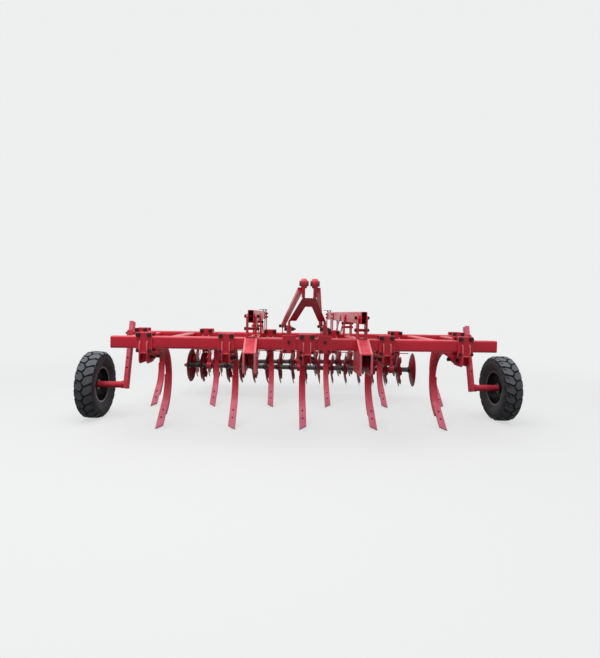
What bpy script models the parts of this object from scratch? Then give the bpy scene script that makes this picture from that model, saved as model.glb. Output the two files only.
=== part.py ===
"""A mounted subsoiler: eleven curved tines under a tube frame, gauge wheels and a floating disc harrow.

Everything is drawn in the machine's own coordinates: X to the right as seen from the front, Y
rearwards from the front beam's front face, Z up from the ground. The last step moves the whole
machine so that its origin is the middle of its footprint.
"""
import math
from collections import namedtuple

import bmesh
import bpy
from mathutils import Matrix, Vector

# Gaps
SEAT = 0.0003              # gap between two pieces that touch
PLAY = 0.0004              # running gap of a pin or a bearing
GUIDE = 0.0008             # sliding gap between a post and its sleeve
WELD = 0.003               # how far welded parts of one piece run into each other

# Frame
BEAM = 0.12                # outside of the square beam tube
BEAM_WALL = 0.008
BEAM_ROUND = 0.018         # outside corner radius of the tubes
BEAM_Z = 0.942             # underside of the beams
REAR_HALF = 2.11           # half length of the rear beam
REAR_SPARE = 0.11          # rear beam past its outermost tine
FRONT_SPARE = 0.33         # front beam past its outermost tine
TINE_PITCH = (REAR_HALF - REAR_SPARE) / 5      # between neighbouring furrows
FRONT_HALF = 4 * TINE_PITCH + FRONT_SPARE      # half length of the front beam
ROW_OFFSET = 1.20          # front beam to rear beam
MEMBER = 0.10              # outside of the fore-and-aft tubes
DRAIN = 0.012              # radius of the drain hole in a tube's end
BEAM_TOP = BEAM_Z + BEAM
BEAM_MIDDLE = BEAM_Z + BEAM / 2
MEMBER_TOP = BEAM_MIDDLE + MEMBER / 2

# Tines
SHANK_W = 0.060
SHANK_T = 0.080
ARCH_R = 0.39              # centre line radius of the upper bend
SWEEP_R = 0.45             # centre line radius of the lower bend
ROOT_L = 0.18              # the shank's root, up to the upper bend
ROOT_DROP = 0.022          # the bend's crown below the beam
ARCH_Y = ROOT_L + ARCH_R   # the upper bend's centre, behind the beam's front face
ARCH_Z = BEAM_Z - ROOT_DROP - ARCH_R
HEEL = math.radians(8)     # how much the shank's root rises towards the arch
ROOT_Y = 0.03              # front end of the shank
SWEEP_END = math.radians(58)
POINT_AT = math.radians(48)
POINT_W = 0.080
POINT_T = 0.022
POINT_LAP = 0.030          # how far the point runs up the shank past its tangent
POINT_SKEW = 0.045         # how much further one edge of the point reaches
SHIN_W = 0.070
SHIN_T = 0.012

# Tine holders
HOLDER_W = 0.155           # clamp plate across the beam
HOLDER_PLATE = 0.020
HOLDER_CHEEK = 0.012
HOLDER_RISE = 0.038        # clamp plate above the beam
HOLDER_DROP = 0.037        # clamp plate below the beam
CHEEK_NOSE = 0.045         # cheeks in front of the beam
CHEEK_TAIL = 0.36
CHEEK_RISE = 0.078         # cheeks before the beam, above its underside
CHEEK_DROP = 0.147
CHEEK_TOP = BEAM_Z + CHEEK_RISE
CHEEK_LOW = BEAM_Z - CHEEK_DROP
CHEEK_CHAMFER = 0.030
CHEEK_TAIL_CUT = 0.048
BRIDGE_DROP = 0.049        # lip that joins the cheeks before the beam
BRIDGE_Z = BEAM_Z - BRIDGE_DROP
BRIDGE_T = 0.012
TIE_Y = 0.155              # strap that joins the cheeks behind the shank's root
TIE_D = 0.030
TIE_T = 0.007

# Headstock
EAR_X = 0.051
EAR_T = 0.022
EAR_FORE = 0.27            # top link pin, in front of the beam
EAR_Y = -EAR_FORE
EAR_Z = 1.59
EAR_R = 0.047
EAR_RISE = EAR_Z - BEAM_TOP
NECK_FORE = 0.03           # neck behind the eye
BUSH_R = 0.026
BUSH_L = 0.085
PIN_R = 0.016              # top link pin hole
NECK_Z = BEAM_TOP + 0.744 * EAR_RISE       # where the ears spread into the legs
NECK_Y = EAR_Y + NECK_FORE
MAST_KNEE_Z = BEAM_TOP + 0.309 * EAR_RISE  # where the legs turn down into the feet
MAST_FOOT_X = 0.18
MAST_DEPTH = 0.090
MAST_CLEAR = 0.012         # leg above the beam
MAST_PLATE = 0.014         # plate between the legs
MAST_RIM = 0.020           # how far the plate's opening stays inside the legs
FOOT_W = 0.130             # clamp plate of a mast foot
FOOT_LAP = 0.030           # clamp plate above and below the beam
FOOT_PLATE = 0.014
FOOT_COVER = 0.010
FOOT_LUG_T = 0.012
FOOT_LUG_D = 0.100
FOOT_LUG_H = 0.125
FOOT_PIN_Z = 0.090         # pin above the beam
FOOT_PIN_R = 0.012
PIN_HEAD = 0.020           # how far a pin or bolt stands out of its plate
STAY_LUG_X = 0.245
STAY_SIZE = 0.045
STAY_TOP_Z = EAR_Z - 0.42 * (EAR_Z - NECK_Z)   # stay's front end, between eye and neck
STAY_LUG_T = 0.012
STAY_LUG_D = 0.100
STAY_LUG_H = 0.120
STAY_BOLT_Z = 0.085        # bolt above the beam
STAY_BOLT_R = 0.013

# Lower hitch
HITCH_SHARE = 1.3875       # in tine pitches from the middle
HITCH_X = HITCH_SHARE * TINE_PITCH
HITCH_GAP = 0.086          # between the two plates
HITCH_T = 0.020
HITCH_NOSE = 0.24          # in front of the beam
HITCH_DROP = 0.220
HITCH_STEP = 0.007
HITCH_LOW = BEAM_Z - HITCH_DROP
HITCH_SHOULDER = BEAM_Z - HITCH_STEP
HITCH_TAIL = 0.16
HITCH_CORNER = 0.020
HITCH_PLATE = 0.014        # thickness of the plates across
HITCH_BACK_RISE = 0.040    # back plate above the lower edge
LINK_FORE = 0.17           # holes in front of the beam
LINK_HOLE_R = 0.019
LINK_HOLES = 3
LINK_FIRST = 0.050         # lowest hole above the lower edge
LINK_PITCH = 0.07

# Disc unit
ARM_W = 0.060
ARM_H = 0.125
ARM_WALL = 0.006
ARM_Z = 1.275              # middle of the arms
ARM_FORE = 0.08            # arm in front of the beam's front face
ARM_SPARE = 0.08           # arm behind the rear gang's middle
PIVOT_Y = 0.055
PIVOT_R = 0.014
UPRIGHT_GAP = 0.068        # between the two plates, round the arm
UPRIGHT_T = 0.018
UPRIGHT_D = 0.11           # depth of an upright plate
UPRIGHT_RISE = 0.027       # above the arm's middle
UPRIGHT_TOP = ARM_Z + UPRIGHT_RISE
UPRIGHT_CHAMFER = 0.030
UPRIGHT_FOOT = 0.010       # foot plate between the two plates
UPRIGHT_REAR_Y = 1.07      # middle of the rear uprights, on the inner fore-and-aft tubes
SPACER_DROP = 0.125        # spacer bolt below the arm's middle
GANG_SKEW = math.radians(5)
GANG_FRONT_Y = 2.45
GANG_SPACING = 0.80
GANG_REAR_Y = GANG_FRONT_Y + GANG_SPACING
ARM_REAR = GANG_REAR_Y + ARM_SPARE
GANG_Z = 0.475
DISC_R = 0.255
DISC_T = 0.005
DISC_DISH = 0.045
DISC_NOTCH = 0.042
DISC_TEETH = 8
DISC_PITCH = TINE_PITCH / 2    # along X
DISC_COUNT = 18
SPOOL_R = 0.0375
SHAFT_OUT = 0.075          # shaft past the end discs
GANG_BEAM = 0.090
GANG_BEAM_Z = 0.805        # underside of the gang beams
GANG_BEAM_SPARE = 0.05     # gang beam past its end discs
DROP_T = 0.012
DROP_D = 0.11
DROP_TOP = 0.015           # drop plate's upper end below the arm's top
BRACE_Y = 1.50             # front end of the diagonal braces beside the arms
BRACE_D = 0.045
BRACE_T = 0.010
BEARING_R = 0.060
BEARING_W = 0.070
LEG_W = 0.040
LEG_D = 0.075

# Gauge wheels
TYRE_R = 0.405
TYRE_W = 0.215
AXLE_L = 0.365             # post to the wheel's middle
RIM_R = 0.203              # bead seat
RIM_W = 0.150
RIM_T = 0.006
RIM_FLANGE = 0.018
RIM_DISC = 0.010           # thickness of the wheel disc
RIM_DISC_X = 0.030         # wheel disc outside the wheel's middle
HUB_IN = 0.030
HUB_OUT = 0.065
HUB_WALL = 0.020
POST_W = 0.050
POST_D = 0.100
POST_WALL = 0.007
POST_LEAN = math.radians(16)
POST_RISE = 0.108
POST_TOP_Z = BEAM_TOP + POST_RISE
POST_FOOT = 0.045          # post below the axle
POST_HOLES = 4
POST_HOLE = 0.125          # between the holes
POST_PIN_R = 0.011
AXLE_R = 0.040
AXLE_OUT = 0.040           # axle past the wheel's middle
COLLAR_L = 0.035
COLLAR_T = 0.007
SLEEVE_WALL = 0.010
SLEEVE_DROP = 0.017
SLEEVE_STEP = 0.007
SLEEVE_LOW = BEAM_Z - SLEEVE_DROP
SLEEVE_HIGH = BEAM_TOP - SLEEVE_STEP
POST_X = REAR_HALF + SEAT + SLEEVE_WALL + GUIDE + POST_W / 2
TYRE_X = POST_X + AXLE_L
# The post crosses the rear beam's end in the middle of the beam.
WHEEL_Y = ROW_OFFSET + BEAM / 2 - (BEAM_MIDDLE - TYRE_R) * math.tan(POST_LEAN)
HUB_R = 0.062
LUG_PITCHES = 22           # lugs in each of a tyre's two rows
LUG_DEPTH = 0.016
LUG_SHARE = 0.68           # of the pitch, the rest is the groove
LUG_INNER = 0.012          # inner ends of the lugs, beside the tyre's middle
LUG_CROWN = 0.005          # outer ends of the lugs below their inner ends
WHEEL_SIDES = 2 * LUG_PITCHES

Finish = namedtuple("Finish", "name colour roughness metallic")
FINISHES = (
    Finish("red_paint", (0.42, 0.018, 0.030), 0.38, 0.0),
    Finish("worn_red_paint", (0.47, 0.085, 0.13), 0.55, 0.0),
    Finish("disc_red_paint", (0.15, 0.010, 0.022), 0.50, 0.0),
    Finish("tyre_rubber", (0.022, 0.022, 0.024), 0.85, 0.0),
    Finish("rim_paint", (0.018, 0.017, 0.018), 0.50, 0.0),
)


def make_finish(finish):
    """A Principled material from one row of the finishes."""
    material = bpy.data.materials.new(finish.name)
    material.use_nodes = True
    shader = material.node_tree.nodes["Principled BSDF"]
    shader.inputs["Base Color"].default_value = (*finish.colour, 1.0)
    shader.inputs["Roughness"].default_value = finish.roughness
    shader.inputs["Metallic"].default_value = finish.metallic
    material.diffuse_color = (*finish.colour, 1.0)
    return material


def clear_scene():
    """Remove what the scene starts with."""
    for item in list(bpy.data.objects):
        bpy.data.objects.remove(item, do_unlink=True)


def arc(centre, radius, start, end, steps):
    """Points on an arc in a plane, from one angle to the other."""
    turn = (end - start) / steps
    return [(centre[0] + radius * math.cos(start + turn * i), centre[1] + radius * math.sin(start + turn * i))
            for i in range(steps + 1)]


def rounded_rect(width, height, radius, centre=(0.0, 0.0), steps=2):
    """A rectangle with round corners, anticlockwise."""
    across, up = width / 2 - radius, height / 2 - radius
    corners = ((across, up, 0), (-across, up, 1), (-across, -up, 2), (across, -up, 3))
    points = []
    for u, v, quarter in corners:
        start = quarter * math.pi / 2
        points += arc((centre[0] + u, centre[1] + v), radius, start, start + math.pi / 2, steps)
    return points


def rect(width, height, centre=(0.0, 0.0)):
    """A plain rectangle, anticlockwise."""
    u, v = width / 2, height / 2
    return [(centre[0] + a * u, centre[1] + b * v) for a, b in ((1, 1), (-1, 1), (-1, -1), (1, -1))]


def circle(radius, sides, centre=(0.0, 0.0)):
    """A regular polygon that stands for a circle."""
    return arc(centre, radius, 0, 2 * math.pi, sides)[:-1]


def loft(rings):
    """A closed solid through rings of equally many points, with flat ends."""
    bm = bmesh.new()
    rows = [[bm.verts.new(point) for point in ring] for ring in rings]
    count = len(rows[0])
    for near, far in zip(rows, rows[1:]):
        for i in range(count):
            j = (i + 1) % count
            bm.faces.new((near[i], near[j], far[j], far[i]))
    bm.faces.new(rows[0][::-1])
    bm.faces.new(rows[-1])
    bmesh.ops.recalc_face_normals(bm, faces=bm.faces)
    return bm


def prism_x(outline, low, high):
    """An outline of (y, z) points drawn out along X."""
    return loft([[(x, y, z) for y, z in outline] for x in (low, high)])


def prism_z(outline, low, high):
    """An outline of (x, y) points drawn out along Z."""
    return loft([[(x, y, z) for x, y in outline] for z in (low, high)])


def box(low, high):
    """A block between two corners."""
    centre = ((low[0] + high[0]) / 2, (low[1] + high[1]) / 2)
    return prism_z(rect(high[0] - low[0], high[1] - low[1], centre), low[2], high[2])


def bar(start, end, outline, side=(1.0, 0.0, 0.0)):
    """An outline swept straight from start to end; its first axis lies towards side."""
    start, end = Vector(start), Vector(end)
    along = (end - start).normalized()
    second = along.cross(Vector(side)).normalized()
    first = second.cross(along)
    return loft([[spot + first * u + second * v for u, v in outline] for spot in (start, end)])


def rod(start, end, radius, sides=12):
    """A round bar between two points."""
    start, end = Vector(start), Vector(end)
    along = (end - start).normalized()
    side = Vector((0.0, 0.0, 1.0)) if abs(along.z) < 0.9 else Vector((1.0, 0.0, 0.0))
    return bar(start, end, circle(radius, sides), along.cross(side))


def bore_radius(radius, sides):
    """A polygon's corner radius, so that its flats lie outside a circle."""
    return radius / math.cos(math.pi / sides)


def turned(bm, matrix):
    """The same solid after a turn or a shift."""
    bmesh.ops.transform(bm, matrix=matrix, verts=bm.verts)
    return bm


def helper_object(bm):
    """A throw-away object for a Boolean."""
    mesh = bpy.data.meshes.new("helper")
    bm.to_mesh(mesh)
    bm.free()
    item = bpy.data.objects.new("helper", mesh)
    bpy.context.scene.collection.objects.link(item)
    return item


def combine(base, add=(), cut=()):
    """One solid: base with some solids welded on and others cut away."""
    target = helper_object(base)
    tools = [(helper_object(bm), "UNION") for bm in add] + [(helper_object(bm), "DIFFERENCE") for bm in cut]
    for tool, operation in tools:
        modifier = target.modifiers.new(operation, "BOOLEAN")
        modifier.solver = "EXACT"
        modifier.operation = operation
        modifier.object = tool
    graph = bpy.context.evaluated_depsgraph_get()
    result = bmesh.new()
    result.from_mesh(target.evaluated_get(graph).to_mesh())
    for item in [target] + [tool for tool, _ in tools]:
        mesh = item.data
        bpy.data.objects.remove(item, do_unlink=True)
        bpy.data.meshes.remove(mesh)
    bmesh.ops.remove_doubles(result, verts=result.verts, dist=0.00001)
    bmesh.ops.dissolve_limit(result, angle_limit=0.0005, verts=result.verts, edges=result.edges)
    return result


def mirrored(bm):
    """The same solid on the other side of the machine."""
    copy = bm.copy()
    turned(copy, Matrix.Scale(-1.0, 4, (1.0, 0.0, 0.0)))
    bmesh.ops.reverse_faces(copy, faces=copy.faces)
    return copy


def mesh_of(bm, name, pivot=(0.0, 0.0, 0.0)):
    """A mesh whose zero is the pivot."""
    bmesh.ops.translate(bm, verts=bm.verts, vec=-Vector(pivot))
    mesh = bpy.data.meshes.new(name)
    bm.to_mesh(mesh)
    bm.free()
    mesh.shade_smooth()
    mesh.set_sharp_from_angle(angle=math.radians(30))
    return mesh


class Machine:
    """Holds the materials and the empties that the pieces hang from."""

    def __init__(self):
        self.finishes = {finish.name: make_finish(finish) for finish in FINISHES}
        self.carriers = {}
        self.pieces = []

    def carrier(self, name, spot, parent=None):
        """An empty on a joint's axis, which the moving pieces follow."""
        empty = bpy.data.objects.new(name, None)
        bpy.context.scene.collection.objects.link(empty)
        origin = Vector(spot)
        if parent:
            empty.parent = self.carriers[parent][0]
            origin = origin - self.carriers[parent][1]
        empty.location = origin
        self.carriers[name] = (empty, Vector(spot))

    def piece(self, name, mesh, finish, carrier, pivot):
        """Place a mesh, drawn round its pivot, under a carrier."""
        mesh.materials.clear()
        mesh.materials.append(self.finishes[finish])
        item = bpy.data.objects.new(name, mesh)
        bpy.context.scene.collection.objects.link(item)
        empty, spot = self.carriers[carrier]
        item.parent = empty
        item.location = Vector(pivot) - spot
        self.pieces.append(item)
        return item

    def solid(self, name, bm, finish, carrier="frame", pivot=None):
        """Place a solid that is drawn in the machine's coordinates."""
        pivot = self.carriers[carrier][1] if pivot is None else Vector(pivot)
        return self.piece(name, mesh_of(bm, name, pivot), finish, carrier, pivot)


# Frame

def closed_tube_x(half, low_y, low_z, size, wall, corner):
    """A square tube along X with capped ends; each cap has a drain hole."""
    centre = (low_y + size / 2, low_z + size / 2)
    outer = prism_x(rounded_rect(size, size, corner, centre), -half, half)
    inner = prism_x(rounded_rect(size - 2 * wall, size - 2 * wall, corner - wall, centre), wall - half, half - wall)
    drain = rod((-half - wall, *centre), (half + wall, *centre), DRAIN, 8)
    return combine(outer, cut=(inner, drain))


def open_tube(start, end, width, height, wall, corner, side=(1.0, 0.0, 0.0)):
    """A rectangular tube that is open at both ends."""
    start, end = Vector(start), Vector(end)
    past = (end - start).normalized() * wall
    outer = bar(start, end, rounded_rect(width, height, corner), side)
    inner_corner = max(corner - wall, wall / 4)
    inner = bar(start - past, end + past, rounded_rect(width - 2 * wall, height - 2 * wall, inner_corner), side)
    return combine(outer, cut=(inner,))


Member = namedtuple("Member", "name pitches")
MEMBERS = (
    Member("member_left_outer", -4.5),
    Member("member_left_middle", -3.45),
    Member("member_left_inner", -HITCH_SHARE),
    Member("member_right_inner", HITCH_SHARE),
    Member("member_right_middle", 3.45),
    Member("member_right_outer", 4.5),
)


def build_frame(machine):
    """Two cross beams and the tubes welded between them."""
    machine.solid("beam_front", closed_tube_x(FRONT_HALF, 0.0, BEAM_Z, BEAM, BEAM_WALL, BEAM_ROUND), "red_paint")
    machine.solid("beam_rear", closed_tube_x(REAR_HALF, ROW_OFFSET, BEAM_Z, BEAM, BEAM_WALL, BEAM_ROUND),
                  "red_paint")
    for member in MEMBERS:
        x = member.pitches * TINE_PITCH
        start = (x, BEAM + SEAT, BEAM_MIDDLE)
        end = (x, ROW_OFFSET - SEAT, BEAM_MIDDLE)
        tube = open_tube(start, end, MEMBER, MEMBER, BEAM_WALL, BEAM_ROUND)
        machine.solid(member.name, tube, "red_paint", pivot=start)


# Tines

Tine = namedtuple("Tine", "name x row long_edge")
FRONT, REAR = 0.0, ROW_OFFSET
LEFT, RIGHT = -1, 1
TINES = (
    Tine("front_1", -4 * TINE_PITCH, FRONT, LEFT),
    Tine("front_2", -2 * TINE_PITCH, FRONT, RIGHT),
    Tine("front_3", 0.0, FRONT, LEFT),
    Tine("front_4", 2 * TINE_PITCH, FRONT, RIGHT),
    Tine("front_5", 4 * TINE_PITCH, FRONT, RIGHT),
    Tine("rear_1", -5 * TINE_PITCH, REAR, LEFT),
    Tine("rear_2", -3 * TINE_PITCH, REAR, RIGHT),
    Tine("rear_3", -1 * TINE_PITCH, REAR, RIGHT),
    Tine("rear_4", 1 * TINE_PITCH, REAR, LEFT),
    Tine("rear_5", 3 * TINE_PITCH, REAR, RIGHT),
    Tine("rear_6", 5 * TINE_PITCH, REAR, LEFT),
)

SWEEP_Y = ARCH_Y + ARCH_R - SWEEP_R      # the lower bend's centre; the bends meet where both run straight down


def band_section(spot, outward, inner, outer, width):
    """Four corners of a flat bar's section, between two distances along its outward direction."""
    corners = ((-width / 2, inner), (width / 2, inner), (width / 2, outer), (-width / 2, outer))
    return [(x, spot[0] + outward[0] * d, spot[1] + outward[1] * d) for x, d in corners]


def bend_sections(centre, radius, start, end, steps, inner, outer, width):
    """Sections along one bend; start and end are angles from the rear, upwards positive."""
    sections = []
    for i in range(steps + 1):
        angle = start + (end - start) * i / steps
        outward = (math.cos(angle), math.sin(angle))
        spot = (centre[0] + radius * outward[0], centre[1] + radius * outward[1])
        sections.append(band_section(spot, outward, inner, outer, width))
    return sections


def shank_solid():
    """The C-shaped bar: a straight root, the arch over the top and the sweep down to the point."""
    half = SHANK_T / 2
    root_angle = math.pi / 2 + HEEL
    outward = (math.cos(root_angle), math.sin(root_angle))
    arch_start = (ARCH_Y + ARCH_R * outward[0], ARCH_Z + ARCH_R * outward[1])
    back = (ROOT_Y - arch_start[0]) / outward[1]
    root = (ROOT_Y, arch_start[1] - back * outward[0])
    sections = [band_section(root, outward, -half, half, SHANK_W)]
    sections += bend_sections((ARCH_Y, ARCH_Z), ARCH_R, root_angle, 0.0, 8, -half, half, SHANK_W)
    sections += bend_sections((SWEEP_Y, ARCH_Z), SWEEP_R, 0.0, -SWEEP_END, 5, -half, half, SHANK_W)[1:]
    return loft(sections)


def shin_solid():
    """The wear plate on the front of the lower bend."""
    inner = -SHANK_T / 2 - SHIN_T
    outer = -SHANK_T / 2 + WELD
    return loft(bend_sections((SWEEP_Y, ARCH_Z), SWEEP_R, 0.0, -POINT_AT, 4, inner, outer, SHIN_W))


def point_solid():
    """The chisel point, tangent to the front of the lower bend, down to the ground."""
    face = SWEEP_R - SHANK_T / 2
    touch = (SWEEP_Y + face * math.cos(POINT_AT), ARCH_Z - face * math.sin(POINT_AT))
    down = (-math.sin(POINT_AT), -math.cos(POINT_AT))
    front = (-math.cos(POINT_AT), math.sin(POINT_AT))
    reach = touch[1] / math.cos(POINT_AT)
    rings = []
    for x, along in ((-POINT_W / 2, reach), (POINT_W / 2, reach - POINT_SKEW)):
        lower = (touch[0] + down[0] * along, touch[1] + down[1] * along)
        upper = (touch[0] - down[0] * POINT_LAP, touch[1] - down[1] * POINT_LAP)
        ring = [(x, spot[0] + front[0] * d, spot[1] + front[1] * d)
                for spot, d in ((lower, 0.0), (upper, -WELD), (upper, POINT_T), (lower, POINT_T))]
        rings.append(ring)
    return loft(rings)


def build_tines(machine):
    """Eleven tines from two meshes, one for each way that the point is cut."""
    pivot = (0.0, ROOT_Y, 0.0)
    left = combine(shank_solid(), add=(shin_solid(), point_solid()))
    right = mirrored(left)
    meshes = {LEFT: mesh_of(left, "tine_left_cut", pivot), RIGHT: mesh_of(right, "tine_right_cut", pivot)}
    for tine in TINES:
        machine.piece("tine_" + tine.name, meshes[tine.long_edge], "worn_red_paint", "frame",
                      (tine.x, tine.row + ROOT_Y, 0.0))


# Tine holders

def holder_solid():
    """A clamp round the beam with two cheeks that grip the shank below it."""
    half = HOLDER_W / 2
    low, high = BEAM_Z - HOLDER_DROP, BEAM_TOP + HOLDER_RISE
    front = box((-half, -SEAT - HOLDER_PLATE, low), (half, -SEAT, high))
    rear_face = BEAM + SEAT
    back = box((-half, rear_face, low), (half, rear_face + HOLDER_PLATE, high))
    inner = SHANK_W / 2 + SEAT
    outer = inner + HOLDER_CHEEK
    under = BEAM_Z - SEAT
    cut = CHEEK_CHAMFER
    outline = (
        (-CHEEK_NOSE, CHEEK_TOP - cut), (-CHEEK_NOSE + cut / 2, CHEEK_TOP), (-SEAT - WELD, CHEEK_TOP),
        (-SEAT - WELD, under), (rear_face + WELD, under), (CHEEK_TAIL - CHEEK_TAIL_CUT, under - cut / 3),
        (CHEEK_TAIL, under - cut), (CHEEK_TAIL, CHEEK_LOW + CHEEK_TAIL_CUT), (BEAM, CHEEK_LOW),
        (-CHEEK_NOSE + cut, CHEEK_LOW), (-CHEEK_NOSE, CHEEK_LOW + cut),
    )
    cheeks = [prism_x(outline, side * inner, side * outer) for side in (LEFT, RIGHT)]
    across = outer - WELD
    bridge = box((-across, WELD * 3 - CHEEK_NOSE, BRIDGE_Z), (across, -BRIDGE_T, BRIDGE_Z + BRIDGE_T))
    tie = box((-across, TIE_Y, CHEEK_LOW + WELD), (across, TIE_Y + TIE_D, CHEEK_LOW + WELD + TIE_T))
    return combine(front, add=[back] + cheeks + [bridge, tie])


def build_holders(machine):
    """One holder for each tine, all from one mesh."""
    mesh = mesh_of(holder_solid(), "holder")
    for tine in TINES:
        machine.piece("holder_" + tine.name, mesh, "red_paint", "frame", (tine.x, tine.row, 0.0))


# Headstock

def mast_side(side):
    """One ear that spreads into a leg and ends as a vertical lug above the beam."""
    foot_y = BEAM / 2
    stations = (
        (MAST_FOOT_X, foot_y, BEAM_TOP + MAST_CLEAR), (MAST_FOOT_X, foot_y, MAST_KNEE_Z),
        (EAR_X, NECK_Y, NECK_Z), (EAR_X, EAR_Y, EAR_Z),
    )
    rings = []
    for x, y, z in stations:
        rings.append([(side * (x + u), y + v, z) for u, v in rect(EAR_T, MAST_DEPTH)])
    return loft(rings)


def mast_solid():
    """The A-shaped top link mast with its two eyes and bushes."""
    rise = NECK_Z - MAST_KNEE_Z
    lean = (NECK_Y - BEAM / 2) / rise
    spread = (MAST_FOOT_X - EAR_X) / rise
    low_z = MAST_KNEE_Z + rise / 23
    apex_z = NECK_Z - 0.35 * rise
    wide = EAR_X + (NECK_Z - low_z) * spread
    inside = EAR_X - MAST_RIM
    narrow = inside + (apex_z - low_z) * spread
    half = [(EAR_X, NECK_Z), (wide, low_z), (narrow, low_z), (inside, apex_z)]
    outline = half + [(-x, z) for x, z in half[::-1]]
    face_y = NECK_Y - MAST_DEPTH / 2
    plate = loft([[(x, face_y + (z - NECK_Z) * lean + d, z) for x, z in outline] for d in (-WELD, MAST_PLATE)])
    eyes = []
    for side in (LEFT, RIGHT):
        for half_length, radius, sides in ((EAR_T / 2, EAR_R, 16), (BUSH_L / 2, BUSH_R, 12)):
            near, far = side * (EAR_X - half_length), side * (EAR_X + half_length)
            eyes.append(rod((near, EAR_Y, EAR_Z), (far, EAR_Y, EAR_Z), radius, sides))
    past = EAR_X + BUSH_L
    hole = rod((-past, EAR_Y, EAR_Z), (past, EAR_Y, EAR_Z), PIN_R, 12)
    return combine(mast_side(LEFT), add=[mast_side(RIGHT), plate] + eyes, cut=(hole,))


def mast_foot_solid():
    """A pair of lugs on a clamp plate over the front beam, round one leg of the mast."""
    inner = EAR_T / 2 + SEAT
    outer = inner + FOOT_LUG_T
    half, low = FOOT_W / 2, BEAM_TOP + FOOT_COVER / 2
    plate = box((-half, -SEAT - FOOT_PLATE, BEAM_Z - FOOT_LAP), (half, -SEAT, BEAM_TOP + FOOT_LAP))
    cover = box((-half, -FOOT_COVER, BEAM_TOP + SEAT), (half, BEAM + FOOT_COVER, BEAM_TOP + SEAT + FOOT_COVER))
    front, back = (BEAM - FOOT_LUG_D) / 2, (BEAM + FOOT_LUG_D) / 2
    lugs, pins = [], []
    for side in (LEFT, RIGHT):
        near, far = side * inner, side * outer
        lugs.append(box((min(near, far), front, low), (max(near, far), back, low + FOOT_LUG_H - FOOT_COVER / 2)))
        pins.append(rod((side * (inner + WELD), BEAM / 2, BEAM_TOP + FOOT_PIN_Z),
                        (side * (outer + PIN_HEAD), BEAM / 2, BEAM_TOP + FOOT_PIN_Z), FOOT_PIN_R, 8))
    return combine(plate, add=[cover] + lugs + pins)


def stay_solid(side):
    """A stay from the ear back to the rear beam, with its lug."""
    beside = EAR_X + EAR_T / 2 + SEAT + STAY_SIZE / 2
    top = Vector((side * beside, EAR_Y + STAY_SIZE / 2, STAY_TOP_Z))
    foot = Vector((side * STAY_LUG_X, ROW_OFFSET + BEAM / 2, BEAM_TOP + STAY_BOLT_Z))
    tube = bar(top, foot, rect(STAY_SIZE, STAY_SIZE))
    lug = box((foot.x - STAY_LUG_T / 2, foot.y - STAY_LUG_D / 2, BEAM_TOP + SEAT),
              (foot.x + STAY_LUG_T / 2, foot.y + STAY_LUG_D / 2, BEAM_TOP + STAY_LUG_H))
    reach = STAY_SIZE / 2 + PIN_HEAD
    bolt = rod((foot.x - reach, foot.y, foot.z), (foot.x + reach, foot.y, foot.z), STAY_BOLT_R, 8)
    return combine(tube, add=(lug, bolt))


def build_headstock(machine):
    """Mast, its feet on the front beam and its two stays."""
    machine.solid("mast", mast_solid(), "red_paint")
    foot = mesh_of(mast_foot_solid(), "mast_foot")
    for name, side in (("left", LEFT), ("right", RIGHT)):
        machine.piece("mast_foot_" + name, foot, "red_paint", "frame", (side * MAST_FOOT_X, 0.0, 0.0))
        machine.solid("mast_stay_" + name, stay_solid(side), "red_paint")


# Lower hitch

def hitch_solid():
    """Two plates under and before the front beam, with a sloped plate across them."""
    inner = HITCH_GAP / 2
    outer = inner + HITCH_T
    under = BEAM_Z - SEAT
    cut = HITCH_CORNER
    outline = ((-SEAT, BEAM_TOP), (-cut, BEAM_TOP), (-HITCH_NOSE, HITCH_SHOULDER), (-HITCH_NOSE, HITCH_LOW + cut),
               (cut - HITCH_NOSE, HITCH_LOW), (HITCH_TAIL, HITCH_LOW), (HITCH_TAIL, under), (-SEAT, under))
    plates = [prism_x(outline, min(side * inner, side * outer), max(side * inner, side * outer))
              for side in (LEFT, RIGHT)]
    fall = (BEAM_TOP - HITCH_SHOULDER) / (HITCH_NOSE - cut)
    ends = ((-cut - WELD, BEAM_TOP - (fall + 1) * WELD), (WELD - HITCH_NOSE, HITCH_SHOULDER + WELD * fall - WELD))
    slope = list(ends) + [(y, z - HITCH_PLATE) for y, z in ends[::-1]]
    across = inner + WELD
    cross = prism_x(slope, -across, across)
    back_y = HITCH_TAIL - WELD
    back = box((-across, back_y - HITCH_PLATE, HITCH_LOW + HITCH_BACK_RISE), (across, back_y, under - cut))
    past = outer + WELD
    holes = []
    for i in range(LINK_HOLES):
        z = HITCH_LOW + LINK_FIRST + LINK_PITCH * i
        holes.append(rod((-past, -LINK_FORE, z), (past, -LINK_FORE, z), LINK_HOLE_R, 12))
    return combine(plates[0], add=(cross, back, plates[1]), cut=holes)


def build_hitch(machine):
    """One bracket on each side for the lower links."""
    mesh = mesh_of(hitch_solid(), "hitch_bracket")
    for name, side in (("left", LEFT), ("right", RIGHT)):
        machine.piece("hitch_bracket_" + name, mesh, "red_paint", "frame", (side * HITCH_X, 0.0, 0.0))


# Uprights that carry the disc unit's arms

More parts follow.
